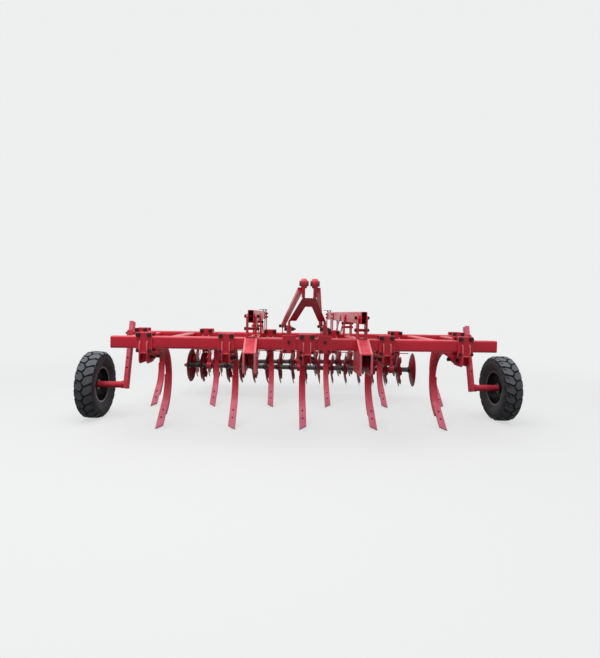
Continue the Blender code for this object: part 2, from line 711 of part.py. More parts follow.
def upright_solid(pin_z, base):
    """Two plates beside an arm, with a pin and a spacer bolt through them, drawn round the pin's Y."""
    inner = UPRIGHT_GAP / 2
    outer = inner + UPRIGHT_T
    low, half, cut = base + SEAT, UPRIGHT_D / 2, UPRIGHT_CHAMFER
    outline = ((-half, low), (half, low), (half, UPRIGHT_TOP - cut), (half - cut, UPRIGHT_TOP),
               (cut - half, UPRIGHT_TOP), (-half, UPRIGHT_TOP - cut))
    plates = [prism_x(outline, min(side * inner, side * outer), max(side * inner, side * outer))
              for side in (LEFT, RIGHT)]
    across = inner + WELD
    foot = box((-across, cut / 2 - half, low), (across, half - cut / 2, low + UPRIGHT_FOOT))
    past = outer + PIN_HEAD
    pin = rod((-past, 0.0, pin_z), (past, 0.0, pin_z), PIVOT_R)
    spacer_z = ARM_Z - SPACER_DROP
    spacer = rod((-past, 0.0, spacer_z), (past, 0.0, spacer_z), PIVOT_R, 8)
    return combine(plates[0], add=(plates[1], foot, pin, spacer))


def build_uprights(machine):
    """Front uprights with the arms' pivot pins and rear uprights with the bolts that the arms rest on."""
    front = mesh_of(upright_solid(ARM_Z, BEAM_TOP), "upright_front")
    rest_z = ARM_Z - ARM_H / 2 - PIVOT_R - SEAT
    rear = mesh_of(upright_solid(rest_z, MEMBER_TOP), "upright_rear")
    for name, side in (("left", LEFT), ("right", RIGHT)):
        machine.piece("upright_front_" + name, front, "red_paint", "frame", (side * HITCH_X, PIVOT_Y, 0.0))
        machine.piece("upright_rear_" + name, rear, "red_paint", "frame", (side * HITCH_X, UPRIGHT_REAR_Y, 0.0))


# Disc unit

Gang = namedtuple("Gang", "name y skew braced")
GANGS = (
    Gang("front", GANG_FRONT_Y, -GANG_SKEW, True),
    Gang("rear", GANG_REAR_Y, GANG_SKEW, False),
)
BEARINGS = (-7 * DISC_PITCH, 0.0, 7 * DISC_PITCH)


def rim_ring(axial, radius, teeth):
    """The notched edge of a disc: a notch, then the two ends of a tooth, all the way round."""
    points = []
    step = 2 * math.pi / teeth
    for i in range(teeth):
        for turn, depth in ((0.0, DISC_NOTCH), (0.25, 0.0), (0.75, 0.0)):
            angle = (i + turn) * step
            r = radius - depth
            points.append((axial, r * math.cos(angle), r * math.sin(angle)))
    return points


def plain_ring(axial, radius, sides):
    """A ring of points round the shaft."""
    return [(axial, radius * math.cos(2 * math.pi * i / sides), radius * math.sin(2 * math.pi * i / sides))
            for i in range(sides)]


def join_rings(bm, inner, outer):
    """Faces between two rings; one of them may have three points for each point of the other."""
    if len(inner) == len(outer):
        for i in range(len(inner)):
            j = (i + 1) % len(inner)
            bm.faces.new((inner[i], inner[j], outer[j], outer[i]))
        return
    few, many = (inner, outer) if len(inner) < len(outer) else (outer, inner)
    for i, spot in enumerate(few):
        after = few[(i + 1) % len(few)]
        before_notch, notch, first = many[3 * i - 1], many[3 * i], many[3 * i + 1]
        second = many[3 * i + 2]
        bm.faces.new((spot, before_notch, notch))
        bm.faces.new((spot, notch, first))
        bm.faces.new((spot, first, after))
        bm.faces.new((first, second, after))


def gang_solid():
    """A shaft with spools and notched, dished discs, drawn round its own axis along X."""
    pitch = DISC_PITCH / math.cos(GANG_SKEW)
    first = -pitch * (DISC_COUNT - 1) / 2
    rings = [plain_ring(first - SHAFT_OUT, SPOOL_R * 0.55, DISC_TEETH),
             plain_ring(first - SHAFT_OUT * 0.6, SPOOL_R, DISC_TEETH)]
    middle_r = SPOOL_R + (DISC_R - SPOOL_R) * 0.55
    middle_dish = DISC_DISH * (middle_r / DISC_R) ** 2
    for i in range(DISC_COUNT):
        hub = first + i * pitch
        rings += [
            plain_ring(hub - DISC_T, SPOOL_R, DISC_TEETH),
            plain_ring(hub - DISC_T + middle_dish, middle_r, DISC_TEETH),
            rim_ring(hub - DISC_T / 2 + DISC_DISH, DISC_R, DISC_TEETH),
            rim_ring(hub + DISC_DISH, DISC_R, DISC_TEETH),
            plain_ring(hub + middle_dish, middle_r, DISC_TEETH),
            plain_ring(hub, SPOOL_R, DISC_TEETH),
        ]
    last = first + (DISC_COUNT - 1) * pitch
    rings += [plain_ring(last + SHAFT_OUT * 0.6, SPOOL_R, DISC_TEETH),
              plain_ring(last + SHAFT_OUT, SPOOL_R * 0.55, DISC_TEETH)]
    bm = bmesh.new()
    rows = [[bm.verts.new(point) for point in ring] for ring in rings]
    for near, far in zip(rows, rows[1:]):
        join_rings(bm, near, far)
    bm.faces.new(rows[0])
    bm.faces.new(rows[-1])
    bmesh.ops.recalc_face_normals(bm, faces=bm.faces)
    return bm


def bearing_parts(skew):
    """The legs and bearing houses under a gang beam, and the bores through them."""
    parts, bores = [], []
    for x in BEARINGS:
        spot = x / math.cos(skew) + DISC_DISH / 2
        parts.append(box((spot - LEG_W / 2, -LEG_D / 2, GANG_Z), (spot + LEG_W / 2, LEG_D / 2, GANG_BEAM_Z + WELD)))
        parts.append(rod((spot - BEARING_W / 2, 0.0, GANG_Z), (spot + BEARING_W / 2, 0.0, GANG_Z), BEARING_R))
        bores.append(rod((spot - BEARING_W, 0.0, GANG_Z), (spot + BEARING_W, 0.0, GANG_Z),
                         bore_radius(SPOOL_R + PLAY, 24), 24))
    return parts, bores


def gang_beam_solid(gang):
    """A skewed beam over one gang, with three bearing legs and the plates that hang it from the arms."""
    half = (DISC_COUNT - 1) * DISC_PITCH / 2 / math.cos(gang.skew) + GANG_BEAM_SPARE
    middle = GANG_BEAM_Z + GANG_BEAM / 2
    beam = open_tube((-half, 0.0, middle), (half, 0.0, middle), GANG_BEAM, GANG_BEAM, ARM_WALL, 2 * ARM_WALL,
                     (0.0, 1.0, 0.0))
    parts, bores = bearing_parts(gang.skew)
    solid = turned(combine(beam, add=parts, cut=bores), Matrix.Rotation(gang.skew, 4, "Z"))
    hangers = []
    for side in (LEFT, RIGHT):
        y = side * HITCH_X * math.tan(gang.skew)
        for edge in (LEFT, RIGHT):
            face = side * HITCH_X + edge * (ARM_W / 2 + SEAT)
            near, far = sorted((face, face + edge * DROP_T))
            hangers.append(box((near, y - DROP_D / 2, GANG_BEAM_Z + GANG_BEAM - WELD),
                               (far, y + DROP_D / 2, ARM_Z + ARM_H / 2 - DROP_TOP)))
            if gang.braced:
                x = face + edge * BRACE_T / 2
                ends = ((x, BRACE_Y - gang.y, ARM_Z), (x, y - GANG_BEAM / 3, middle))
                hangers.append(bar(*ends, rect(BRACE_T, BRACE_D)))
    return combine(solid, add=hangers)


def arm_solid():
    """A long rectangular tube with the pivot's hole near its front end."""
    tube = open_tube((0.0, -ARM_FORE, ARM_Z), (0.0, ARM_REAR, ARM_Z), ARM_W, ARM_H, ARM_WALL, 1.5 * ARM_WALL)
    hole = rod((-ARM_W, PIVOT_Y, ARM_Z), (ARM_W, PIVOT_Y, ARM_Z), bore_radius(PIVOT_R + PLAY, 16), 16)
    return combine(tube, cut=(hole,))


def build_disc_unit(machine):
    """Two arms, two gang beams and the two gangs that turn under them."""
    machine.carrier("disc_unit_pivot", (0.0, PIVOT_Y, ARM_Z), "frame")
    arm = mesh_of(arm_solid(), "arm", (0.0, PIVOT_Y, ARM_Z))
    for name, side in (("left", LEFT), ("right", RIGHT)):
        machine.piece("arm_" + name, arm, "red_paint", "disc_unit_pivot", (side * HITCH_X, PIVOT_Y, ARM_Z))
    for gang in GANGS:
        beam = turned(gang_beam_solid(gang), Matrix.Translation((0.0, gang.y, 0.0)))
        machine.solid("gang_beam_" + gang.name, beam, "red_paint", "disc_unit_pivot", (0.0, gang.y, GANG_BEAM_Z))
        machine.carrier("gang_axis_" + gang.name, (0.0, gang.y, GANG_Z), "disc_unit_pivot")
        discs = turned(gang_solid(), Matrix.Rotation(gang.skew, 4, "Z"))
        mesh = mesh_of(discs, "disc_gang_" + gang.name)
        machine.piece("disc_gang_" + gang.name, mesh, "disc_red_paint", "gang_axis_" + gang.name,
                      (0.0, gang.y, GANG_Z))


# Gauge wheels

POST_UP = Vector((0.0, math.sin(POST_LEAN), math.cos(POST_LEAN)))


def revolve(profile, sides, centre):
    """Turn an (axial, radius) outline round an axis along X into a ring-shaped solid."""
    bm = bmesh.new()
    rows = []
    for i in range(sides):
        angle = 2 * math.pi * i / sides
        rows.append([bm.verts.new((centre[0] + a, centre[1] + r * math.cos(angle), centre[2] + r * math.sin(angle)))
                     for a, r in profile])
    count = len(profile)
    for i in range(sides):
        near, far = rows[i], rows[(i + 1) % sides]
        for k in range(count):
            n = (k + 1) % count
            bm.faces.new((near[k], near[n], far[n], far[k]))
    bmesh.ops.recalc_face_normals(bm, faces=bm.faces)
    return bm


def lug_stations():
    """Share of a pitch, with the rows of lugs (left, right) that stand on the stretch after it."""
    past = LUG_SHARE - 0.5
    return ((0.0, (True, True)), (past, (True, False)), (0.5, (True, True)), (LUG_SHARE, (False, True)))


def tyre_side(bm, turn, side):
    """One half of a tyre's outline at one angle: bead, side, shoulder, then floor and top of the tread."""
    half, seat = TYRE_W / 2, RIM_R + SEAT
    depth = TYRE_R - seat
    floor = TYRE_R - LUG_DEPTH
    pitch = 2 * math.pi / LUG_PITCHES
    edge = half - 0.12 * depth
    points = {
        "side": (half, TYRE_R - 0.45 * depth, 0.0),
        "shoulder": (half - 0.03 * depth, TYRE_R - 0.17 * depth, 0.0),
        "edge_floor": (edge, floor - LUG_CROWN, 0.0),
        "edge_top": (edge, TYRE_R - LUG_CROWN, 0.0),
        "inner_floor": (LUG_INNER, floor, pitch / 2),
        "inner_top": (LUG_INNER, TYRE_R, pitch / 2),
    }
    made = {}
    for name, (out, radius, lead) in points.items():
        angle = turn + lead
        made[name] = bm.verts.new((side * out, radius * math.cos(angle), radius * math.sin(angle)))
    return made


def tyre_solid(centre):
    """The tyre: a round body and two rows of slanting lugs, half a pitch apart, fused to it."""
    bm = bmesh.new()
    pitch = 2 * math.pi / LUG_PITCHES
    bead, seat = RIM_W / 2 - RIM_T - SEAT, RIM_R + SEAT
    stations = [((lug + share) * pitch, raised) for lug in range(LUG_PITCHES) for share, raised in lug_stations()]
    count = len(stations)
    halves = {side: [tyre_side(bm, turn, side) for turn, _ in stations] for side in (LEFT, RIGHT)}
    lip = seat + 0.15 * (TYRE_R - seat)
    beads = {}
    for side in (LEFT, RIGHT):
        for name, radius in (("seat", seat), ("lip", lip)):
            beads[side, name] = [bm.verts.new((side * bead, radius * math.cos(i * pitch / 2),
                                               radius * math.sin(i * pitch / 2))) for i in range(WHEEL_SIDES)]
    for i in range(WHEEL_SIDES):
        j = (i + 1) % WHEEL_SIDES
        low_left, low_right = beads[LEFT, "seat"], beads[RIGHT, "seat"]
        bm.faces.new((low_left[i], low_left[j], low_right[j], low_right[i]))
        for side in (LEFT, RIGHT):
            ring = halves[side]
            first, middle, last = (ring[(2 * i + step) % count]["side"] for step in (0, 1, 2))
            low, high = beads[side, "seat"], beads[side, "lip"]
            bm.faces.new((low[i], low[j], high[j], high[i]))
            bm.faces.new((high[i], middle, first))
            bm.faces.new((high[i], high[j], last, middle))
    for k, (_, raised) in enumerate(stations):
        after = (k + 1) % count
        bm.faces.new((halves[LEFT][k]["inner_floor"], halves[LEFT][after]["inner_floor"],
                      halves[RIGHT][after]["inner_floor"], halves[RIGHT][k]["inner_floor"]))
        for row, side in enumerate((LEFT, RIGHT)):
            here, there = halves[side][k], halves[side][after]
            level = "top" if raised[row] else "floor"
            chain = ("side", "shoulder", "edge_" + level, "inner_" + level)
            if raised[row]:
                chain += ("inner_floor",)
            for low, high in zip(chain, chain[1:]):
                bm.faces.new((here[low], there[low], there[high], here[high]))
            if raised[row] != stations[k - 1][1][row]:
                bm.faces.new([here[name] for name in ("shoulder", "edge_top", "inner_top", "inner_floor",
                                                      "edge_floor")])
    loose = [vertex for vertex in bm.verts if not vertex.link_faces]
    bmesh.ops.delete(bm, geom=loose, context="VERTS")
    bmesh.ops.triangulate(bm, faces=bm.faces)
    bmesh.ops.recalc_face_normals(bm, faces=bm.faces)
    bmesh.ops.translate(bm, verts=bm.verts, vec=centre)
    return bm


def rim_solid(centre, side):
    """The dished wheel: a barrel with flanges, a disc near its outer edge and the hub."""
    half, lip = RIM_W / 2, RIM_R + RIM_FLANGE
    barrel = (
        (-half, RIM_R - RIM_T), (-half, lip), (-half + RIM_T, lip), (-half + RIM_T, RIM_R),
        (half - RIM_T, RIM_R), (half - RIM_T, lip), (half, lip), (half, RIM_R - RIM_T),
    )
    ring = revolve(barrel, WHEEL_SIDES, centre)

    def across(start, end, radius, sides):
        return rod((centre[0] + side * start, *centre[1:]), (centre[0] + side * end, *centre[1:]), radius, sides)

    disc = across(RIM_DISC_X - RIM_DISC / 2, RIM_DISC_X + RIM_DISC / 2, RIM_R - RIM_T / 2, WHEEL_SIDES)
    hub = across(-HUB_IN, HUB_OUT, HUB_R, 16)
    bore = across(-HUB_IN - HUB_WALL, HUB_OUT - HUB_WALL, bore_radius(AXLE_R + PLAY, 20), 20)
    return combine(ring, add=(disc, hub), cut=(bore,))


def post_solid(side, axle):
    """A leaning post with a row of pin holes, and the stub axle at its foot."""
    top = axle + POST_UP * ((POST_TOP_Z - axle.z) / POST_UP.z)
    post = open_tube(axle - POST_UP * POST_FOOT, top, POST_W, POST_D, POST_WALL, POST_WALL)
    across = POST_UP.cross(Vector((1.0, 0.0, 0.0)))
    pinned = axle + POST_UP * ((BEAM_Z + BEAM / 8 - axle.z) / POST_UP.z)
    holes = []
    for i in range(POST_HOLES):
        spot = pinned - POST_UP * POST_HOLE * i
        holes.append(rod(spot - across * POST_D, spot + across * POST_D, POST_PIN_R, 8))
    post = combine(post, cut=holes)
    outwards = Vector((side, 0.0, 0.0))
    inside = axle - outwards * (POST_W / 2 - WELD)
    shaft = rod(inside, (side * (TYRE_X + AXLE_OUT), axle.y, axle.z), AXLE_R, 16)
    collar = rod(inside, axle + outwards * (POST_W / 2 + COLLAR_L), AXLE_R + COLLAR_T, 16)
    return combine(post, add=(shaft, collar))


def sleeve_solid(axle):
    """The sleeve that guides a post, welded on the rear beam's end."""
    low = axle + POST_UP * ((SLEEVE_LOW - axle.z) / POST_UP.z)
    high = axle + POST_UP * ((SLEEVE_HIGH - axle.z) / POST_UP.z)
    slack, wall = 2 * GUIDE, 2 * (GUIDE + SLEEVE_WALL)
    outer = bar(low, high, rect(POST_W + wall, POST_D + wall))
    past = POST_UP * POST_D
    inner = bar(low - past, high + past, rect(POST_W + slack, POST_D + slack))
    return combine(outer, cut=(inner,))


def build_wheels(machine):
    """Both gauge wheels with their posts and sleeves."""
    for name, side in (("left", LEFT), ("right", RIGHT)):
        axle = Vector((side * POST_X, WHEEL_Y, TYRE_R))
        centre = Vector((side * TYRE_X, WHEEL_Y, TYRE_R))
        machine.solid("post_sleeve_" + name, sleeve_solid(axle), "red_paint")
        machine.carrier("post_foot_" + name, axle, "frame")
        machine.solid("wheel_post_" + name, post_solid(side, axle), "worn_red_paint", "post_foot_" + name)
        machine.carrier("wheel_centre_" + name, centre, "post_foot_" + name)
        machine.solid("tyre_" + name, tyre_solid(centre), "tyre_rubber", "wheel_centre_" + name)
        machine.solid("rim_" + name, rim_solid(centre, side), "rim_paint", "wheel_centre_" + name)


def stand_on_origin(machine):
    """Move the machine so that the middle of its footprint is the origin."""
    bpy.context.view_layer.update()
    depths = [(piece.matrix_world @ vertex.co).y for piece in machine.pieces for vertex in piece.data.vertices]
    machine.carriers["frame"][0].location.y = -(min(depths) + max(depths)) / 2
    bpy.context.view_layer.update()


def main():
    clear_scene()
    machine = Machine()
    machine.carrier("frame", (0.0, 0.0, 0.0))
    build_frame(machine)
    build_tines(machine)
    build_holders(machine)
    build_headstock(machine)
    build_hitch(machine)
    build_uprights(machine)
    build_disc_unit(machine)
    build_wheels(machine)
    stand_on_origin(machine)


main()
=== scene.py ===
"""How the subsoiler looks: paint, wear, hardware, welds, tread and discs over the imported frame."""
import math
from functools import cache

import bmesh
import bpy
from bpy.props import FloatProperty, FloatVectorProperty, IntProperty, PointerProperty
from mathutils import Matrix, Vector


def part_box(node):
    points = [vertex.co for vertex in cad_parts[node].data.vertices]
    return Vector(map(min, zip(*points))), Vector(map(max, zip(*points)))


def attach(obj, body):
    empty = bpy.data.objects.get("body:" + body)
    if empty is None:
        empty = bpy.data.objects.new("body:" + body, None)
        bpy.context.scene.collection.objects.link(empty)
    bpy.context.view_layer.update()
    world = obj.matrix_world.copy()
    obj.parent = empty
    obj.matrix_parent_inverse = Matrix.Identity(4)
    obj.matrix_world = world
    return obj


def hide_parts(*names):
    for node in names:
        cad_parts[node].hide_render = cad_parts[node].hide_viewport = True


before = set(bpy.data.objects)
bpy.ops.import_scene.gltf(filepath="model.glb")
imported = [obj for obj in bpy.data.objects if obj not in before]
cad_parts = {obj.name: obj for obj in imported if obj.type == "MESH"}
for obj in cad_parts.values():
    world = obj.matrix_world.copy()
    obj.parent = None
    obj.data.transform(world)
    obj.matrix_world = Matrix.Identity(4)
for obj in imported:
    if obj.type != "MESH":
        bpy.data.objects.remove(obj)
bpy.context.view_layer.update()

bl_info = {
    "name": "Subsoiler",
    "version": (1, 0, 0),
    "blender": (4, 5, 0),
    "location": "3D View > Sidebar > Subsoiler",
    "description": "Dresses the subsoiler's frame with its paint, hardware, tyres and discs",
    "category": "Object",
}

# The frame's own places. Y is measured from the front face of the front beam, as on the machine's drawing.
BEAM_LOW, BEAM_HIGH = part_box("beam_front")
ZERO_Y = BEAM_LOW.y
BEAM_Z, BEAM_TOP = BEAM_LOW.z, BEAM_HIGH.z
BEAM = BEAM_TOP - BEAM_Z
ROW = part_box("beam_rear")[0].y - ZERO_Y
FRONT_TINES = ("front_1", "front_2", "front_3", "front_4", "front_5")
REAR_TINES = ("rear_1", "rear_2", "rear_3", "rear_4", "rear_5", "rear_6")
LONG_EDGE_LEFT = ("front_1", "front_3", "rear_1", "rear_4", "rear_6")
MEMBERS = ("left_outer", "left_middle", "left_inner", "right_inner", "right_middle", "right_outer")
SIDES = (("left", -1), ("right", 1))
RIGHT, BACK, UP = (Vector(row) for row in Matrix.Identity(3))


def middle(node):
    """The middle of a CAD node's box, on the machine's drawing."""
    low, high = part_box(node)
    return (low + high) / 2 - Vector((0.0, ZERO_Y, 0.0))


# Colours and settings

def linear(code):
    """An sRGB hex value as a linear colour."""
    values = [int(code[i:i + 2], 16) / 255 for i in (1, 3, 5)]
    return tuple(v / 12.92 if v <= 0.04045 else ((v + 0.055) / 1.055) ** 2.4 for v in values)


def colour(name, code, about):
    """A colour that the user may change."""
    return FloatVectorProperty(name=name, description=about, subtype="COLOR", size=3, min=0.0, max=1.0,
                               default=linear(code))


class SubsoilerPaint(bpy.types.PropertyGroup):
    """Colours of the finishes."""
    red: colour("Red enamel", "#D5233A", "Paint of the frame, the holders and the disc unit")
    faded: colour("Faded red", "#EE7D94", "Paint of the tine points, bleached and dusty")
    disc: colour("Disc red", "#A01D33", "Paint of the notched discs")
    dust: colour("Dust", "#E7A9AD", "Dry dust on the upper faces")
    # This colour also paints the highlights along broken edges and on narrow front faces.
    edge: colour("Worn edge", "#EE8E97", "Thin paint along edges and corners")
    black: colour("Black paint", "#131214", "Paint of the rims and the gangs' spools")
    bolt: colour("Black oxide", "#33201F", "Bolts and nuts")
    rubber: colour("Rubber", "#56595D", "Tyres")


def length(name, about, default, least, most):
    """A size that the user may change."""
    return FloatProperty(name=name, description=about, default=default, min=least, max=most, unit="LENGTH",
                         precision=4)


def number(name, about, default, least, most):
    """How many of a thing, which the user may change."""
    return IntProperty(name=name, description=about, default=default, min=least, max=most)


class SubsoilerHardware(bpy.types.PropertyGroup):
    """Sizes of the small parts."""
    edge: length("Edge radius", "How far sharp steel edges are broken", 0.0025, 0.0005, 0.006)
    bolt: length("Bolt", "Across the flats of an M24 head", 0.036, 0.02, 0.05)
    small_bolt: length("Small bolt", "Across the flats of an M16 head", 0.024, 0.01, 0.04)
    bead: length("Weld bead", "Radius of the weld beads", 0.005, 0.002, 0.01)
    lug_depth: length("Lug depth", "Height of the lugs over the tyre's casing", 0.016, 0.004, 0.025)
    lugs: number("Tread lugs", "Lugs in each of the tyre's two rows", 22, 12, 40)
    notches: number("Disc notches", "Notches round the edge of a disc", 8, 4, 16)


class SubsoilerStage(bpy.types.PropertyGroup):
    """Backdrop, lamps and camera."""
    background: colour("Background", "#EEEFEF", "Colour of the floor and the backdrop")
    sky: FloatProperty(name="Sky", description="Light of the sky overhead", default=0.95, min=0.0, max=3.0)
    lamp: FloatProperty(name="Top lamp", description="Power of the large soft lamp overhead", default=230.0,
                        min=0.0, max=2000.0, unit="POWER")
    ground: colour("Ground", "#433F3E", "What the floor throws back on the machine")
    lens: FloatProperty(name="Lens", description="Focal length on a 36 mm frame", default=36 * 447.5 / 658,
                        min=10, max=100, unit="CAMERA")


def settings():
    """The three groups of settings."""
    scene = bpy.context.scene
    return scene.subsoiler_paint, scene.subsoiler_hardware, scene.subsoiler_stage


# Nodes and materials

def add_node(tree, kind, inputs=(), out=None, **options):
    """Add a node with its options and its inputs, each a value, a socket or a list of sockets."""
    node = tree.nodes.new(kind)
    for key, value in options.items():
        setattr(node, key, value)
    for key, value in dict(inputs).items():
        for item in value if isinstance(value, list) else [value]:
            if isinstance(item, bpy.types.NodeSocket):
                tree.links.new(item, node.inputs[key])
            else:
                node.inputs[key].default_value = item
    return node if out is None else node.outputs[out]


def shade(value, factor=1.0):
    """A colour made darker or lighter, with full alpha."""
    return (*(c * factor for c in value), 1.0)


def new_material(name, **values):
    """A Principled material, its tree and the place on the object that its patterns follow."""
    finish = bpy.data.materials.new(name)
    finish.use_nodes = True
    tree = finish.node_tree
    shader = tree.nodes["Principled BSDF"]
    for key, value in values.items():
        shader.inputs[key.replace("_", " ").title().replace("Ior", "IOR")].default_value = value
    return finish, tree, add_node(tree, "ShaderNodeTexCoord", out="Object")


def noise(tree, place, scale, detail=3.0, low=0.35, high=0.65, least=0.0, most=1.0):
    """Noise spread from least to most; scale is in patches a metre."""
    fac = add_node(tree, "ShaderNodeTexNoise", {"Scale": scale, "Detail": detail, "Vector": place}, "Fac")
    spread = add_node(tree, "ShaderNodeMapRange", {"From Min": low, "From Max": high, "Value": fac}, "Result")
    if (least, most) == (0.0, 1.0):
        return spread
    return add_node(tree, "ShaderNodeMapRange", {"To Min": least, "To Max": most, "Value": spread}, "Result")


def upward(tree, start=0.35):
    """1 on faces that look up, 0 on walls."""
    normal = add_node(tree, "ShaderNodeNewGeometry", out="Normal")
    z = add_node(tree, "ShaderNodeSeparateXYZ", {"Vector": normal}, "Z")
    return add_node(tree, "ShaderNodeMapRange", {"From Min": start, "Value": z}, "Result")


def height_fade(tree, place, sound, bleached):
    """0 up to one height and 1 past another, above or below it, with a ragged edge."""
    z = add_node(tree, "ShaderNodeSeparateXYZ", {"Vector": place}, "Z")
    ragged = add_node(tree, "ShaderNodeMath", {0: noise(tree, place, 9.0), 1: 0.10, 2: z}, 0,
                      operation="MULTIPLY_ADD")
    return add_node(tree, "ShaderNodeMapRange", {"From Min": sound, "From Max": bleached, "Value": ragged},
                    "Result")


def coated(tree, tone, *coats):
    """Coats of colour over a first one; each is a colour and the masks that multiply to its strength."""
    for coat, share, *more in coats:
        for factor in more:
            share = add_node(tree, "ShaderNodeMath", {0: share, 1: factor}, 0, operation="MULTIPLY")
        tone = add_node(tree, "ShaderNodeMix", {0: share, 6: tone, 7: coat}, 2, data_type="RGBA")
    return tone


def surfaced(finish, tone, place, rough, grain):
    """Link the colour, a patchy roughness and a fine bump; grain is (patches a metre, depth in metres)."""
    tree = finish.node_tree
    height = noise(tree, place, grain[0], 2.0)
    bump = add_node(tree, "ShaderNodeBump", {"Strength": 0.5, "Distance": grain[1], "Height": height},
                    "Normal")
    patch = noise(tree, place, 14.0, least=rough[0], most=rough[1])
    shader = tree.nodes["Principled BSDF"]
    for key, socket in (("Base Color", tone), ("Roughness", patch), ("Normal", bump)):
        tree.links.new(socket, shader.inputs[key])
    return finish


def red_enamel(paint):
    """Sprayed machine enamel: glossy, with 3 mm orange peel, thin along edges with a painted highlight there,
    a painted highlight on narrow front faces, dusty where it looks up.
    """
    finish, tree, place = new_material("sprayed red enamel", specular_ior_level=0.3, coat_weight=0.10,
                                       coat_roughness=0.2)
    edge_wear_and_highlight, pale = (add_node(tree, "ShaderNodeAttribute", out="Fac", attribute_name=name)
                  for name in ("worn_edge", "pale_edge"))
    tone = coated(tree, shade(paint.red, 0.86),
                  (shade(paint.red, 1.06), noise(tree, place, 2.5)),
                  (shade(paint.dust), upward(tree), noise(tree, place, 22.0, least=0.08, most=0.22)),
                  # Broken edges lighter in patches: thin worn paint, and a painted highlight along the edges.
                  (shade(paint.edge), noise(tree, place, 35.0, low=0.3), 0.55, edge_wear_and_highlight),
                  # A painted highlight on the narrow front faces of the cheeks and hitch plates, where the
                  # light catches them.
                  (shade(paint.edge), pale, 0.62))
    return surfaced(finish, tone, place, (0.30, 0.42), (320.0, 0.0003))


def faded_enamel(paint, name, sound, bleached):
    """Enamel bleached and dusted by dry soil: matt, paler from one height to another, finely scratched."""
    finish, tree, place = new_material(name, specular_ior_level=0.35)
    pale = coated(tree, shade(paint.faded, 0.80), (shade(paint.faded), noise(tree, place, 12.0)))
    along = add_node(tree, "ShaderNodeMapping", {"Scale": (160.0, 160.0, 9.0), "Vector": place}, 0)
    edge_wear_and_highlight = add_node(tree, "ShaderNodeAttribute", out="Fac", attribute_name="worn_edge")
    tone = coated(tree, shade(paint.red, 0.82),
                  (shade(paint.red), noise(tree, place, 3.0)),
                  (pale, height_fade(tree, place, sound, bleached)),
                  (shade(paint.dust), noise(tree, along, 1.0, 2.0, 0.55, 0.75), 0.25),
                  # Broken edges a little lighter: worn paint, and a painted highlight along the edges.
                  (shade(paint.edge), edge_wear_and_highlight, 0.30))
    return surfaced(finish, tone, place, (0.45, 0.62), (240.0, 0.0004))


def disc_enamel(paint):
    """Dark red enamel on rolled steel discs: cloudy, with a little dust."""
    finish, tree, place = new_material("dark red disc enamel", specular_ior_level=0.2)
    tone = coated(tree, shade(paint.disc, 0.6), (shade(paint.disc), noise(tree, place, 7.0)),
                  (shade(paint.dust), noise(tree, place, 30.0, low=0.5, high=0.8), 0.06))
    return surfaced(finish, tone, place, (0.35, 0.55), (200.0, 0.0003))


def black_gloss(paint):
    """Black stoving paint: smooth and glossy, with a few dusty patches."""
    finish, tree, place = new_material("black stoving paint", specular_ior_level=0.5, coat_weight=0.3,
                                       coat_roughness=0.12)
    tone = coated(tree, shade(paint.black),
                  (shade(paint.rubber), noise(tree, place, 20.0, low=0.5, high=0.8), 0.06))
    return surfaced(finish, tone, place, (0.28, 0.45), (260.0, 0.0002))


def black_oxide(paint):
    """Quenched and oiled bolts: near black with a warm cast and a satin gloss."""
    finish, tree, place = new_material("black oxide steel", metallic=0.6)
    tone = coated(tree, shade(paint.bolt, 0.6), (shade(paint.bolt), noise(tree, place, 60.0)))
    return surfaced(finish, tone, place, (0.35, 0.5), (700.0, 0.0001))


def tyre_rubber(paint):
    """Vulcanised rubber: matt, grey, lighter on the lugs' tops with dust and a painted sheen, with painted
    shade near black between the lugs and on their walls.
    """
    finish, tree, place = new_material("vulcanised rubber", specular_ior_level=0.25)
    groove = add_node(tree, "ShaderNodeAttribute", out="Fac", attribute_name="groove")
    tone = coated(tree, shade(paint.rubber, 0.8),
                  (shade(paint.rubber), noise(tree, place, 18.0)),
                  # Lighter on faces that look up: dust, and a painted sheen on the lugs' tops.
                  (shade(paint.rubber, 2.6), upward(tree, 0.15), 0.55),
                  # Painted shade: near black in the grooves between the lugs and on the lugs' walls, less on
                  # the sidewalls.
                  (shade(paint.rubber, 0.14), groove))
    return surfaced(finish, tone, place, (0.75, 0.92), (420.0, 0.0003))


def weld_steel(paint):
    """A weld bead under the enamel: the same red, a little darker and rougher."""
    finish, tree, place = new_material("enamelled weld bead", specular_ior_level=0.4)
    tone = coated(tree, shade(paint.red, 0.55), (shade(paint.red, 0.85), noise(tree, place, 90.0)))
    return surfaced(finish, tone, place, (0.38, 0.55), (500.0, 0.0003))


# The heights are those where the enamel is still sound and where it is fully bleached.
MATERIAL_MAKERS = {
    "red": red_enamel,
    "tine": lambda paint: faded_enamel(paint, "bleached red enamel on tines", 0.60, -0.08),
    "point": lambda paint: faded_enamel(paint, "scoured red enamel on points", 0.48, 0.20),
    "post": lambda paint: faded_enamel(paint, "bleached red enamel on posts", 0.36, 1.5),
    "disc": disc_enamel,
    "black": black_gloss,
    "oxide": black_oxide,
    "rubber": tyre_rubber,
    "weld": weld_steel,
}


@cache
def material(key):
    """A finish, made the first time it is asked for."""
    return MATERIAL_MAKERS[key](settings()[0])


# Meshes

def show(name, data):
    """An object at the origin with this mesh, lamp or camera."""
    item = bpy.data.objects.new(name, data)
    bpy.context.scene.collection.objects.link(item)
    return item


def to_mesh(bm, name, key, sharp=30.0):
    """A bmesh as a mesh, smooth except at edges sharper than the angle in degrees."""
    mesh = bpy.data.meshes.new(name)
    bm.to_mesh(mesh)
    bm.free()
    mesh.shade_smooth()
    mesh.set_sharp_from_angle(angle=math.radians(sharp))
    mesh.materials.append(material(key))
    return mesh


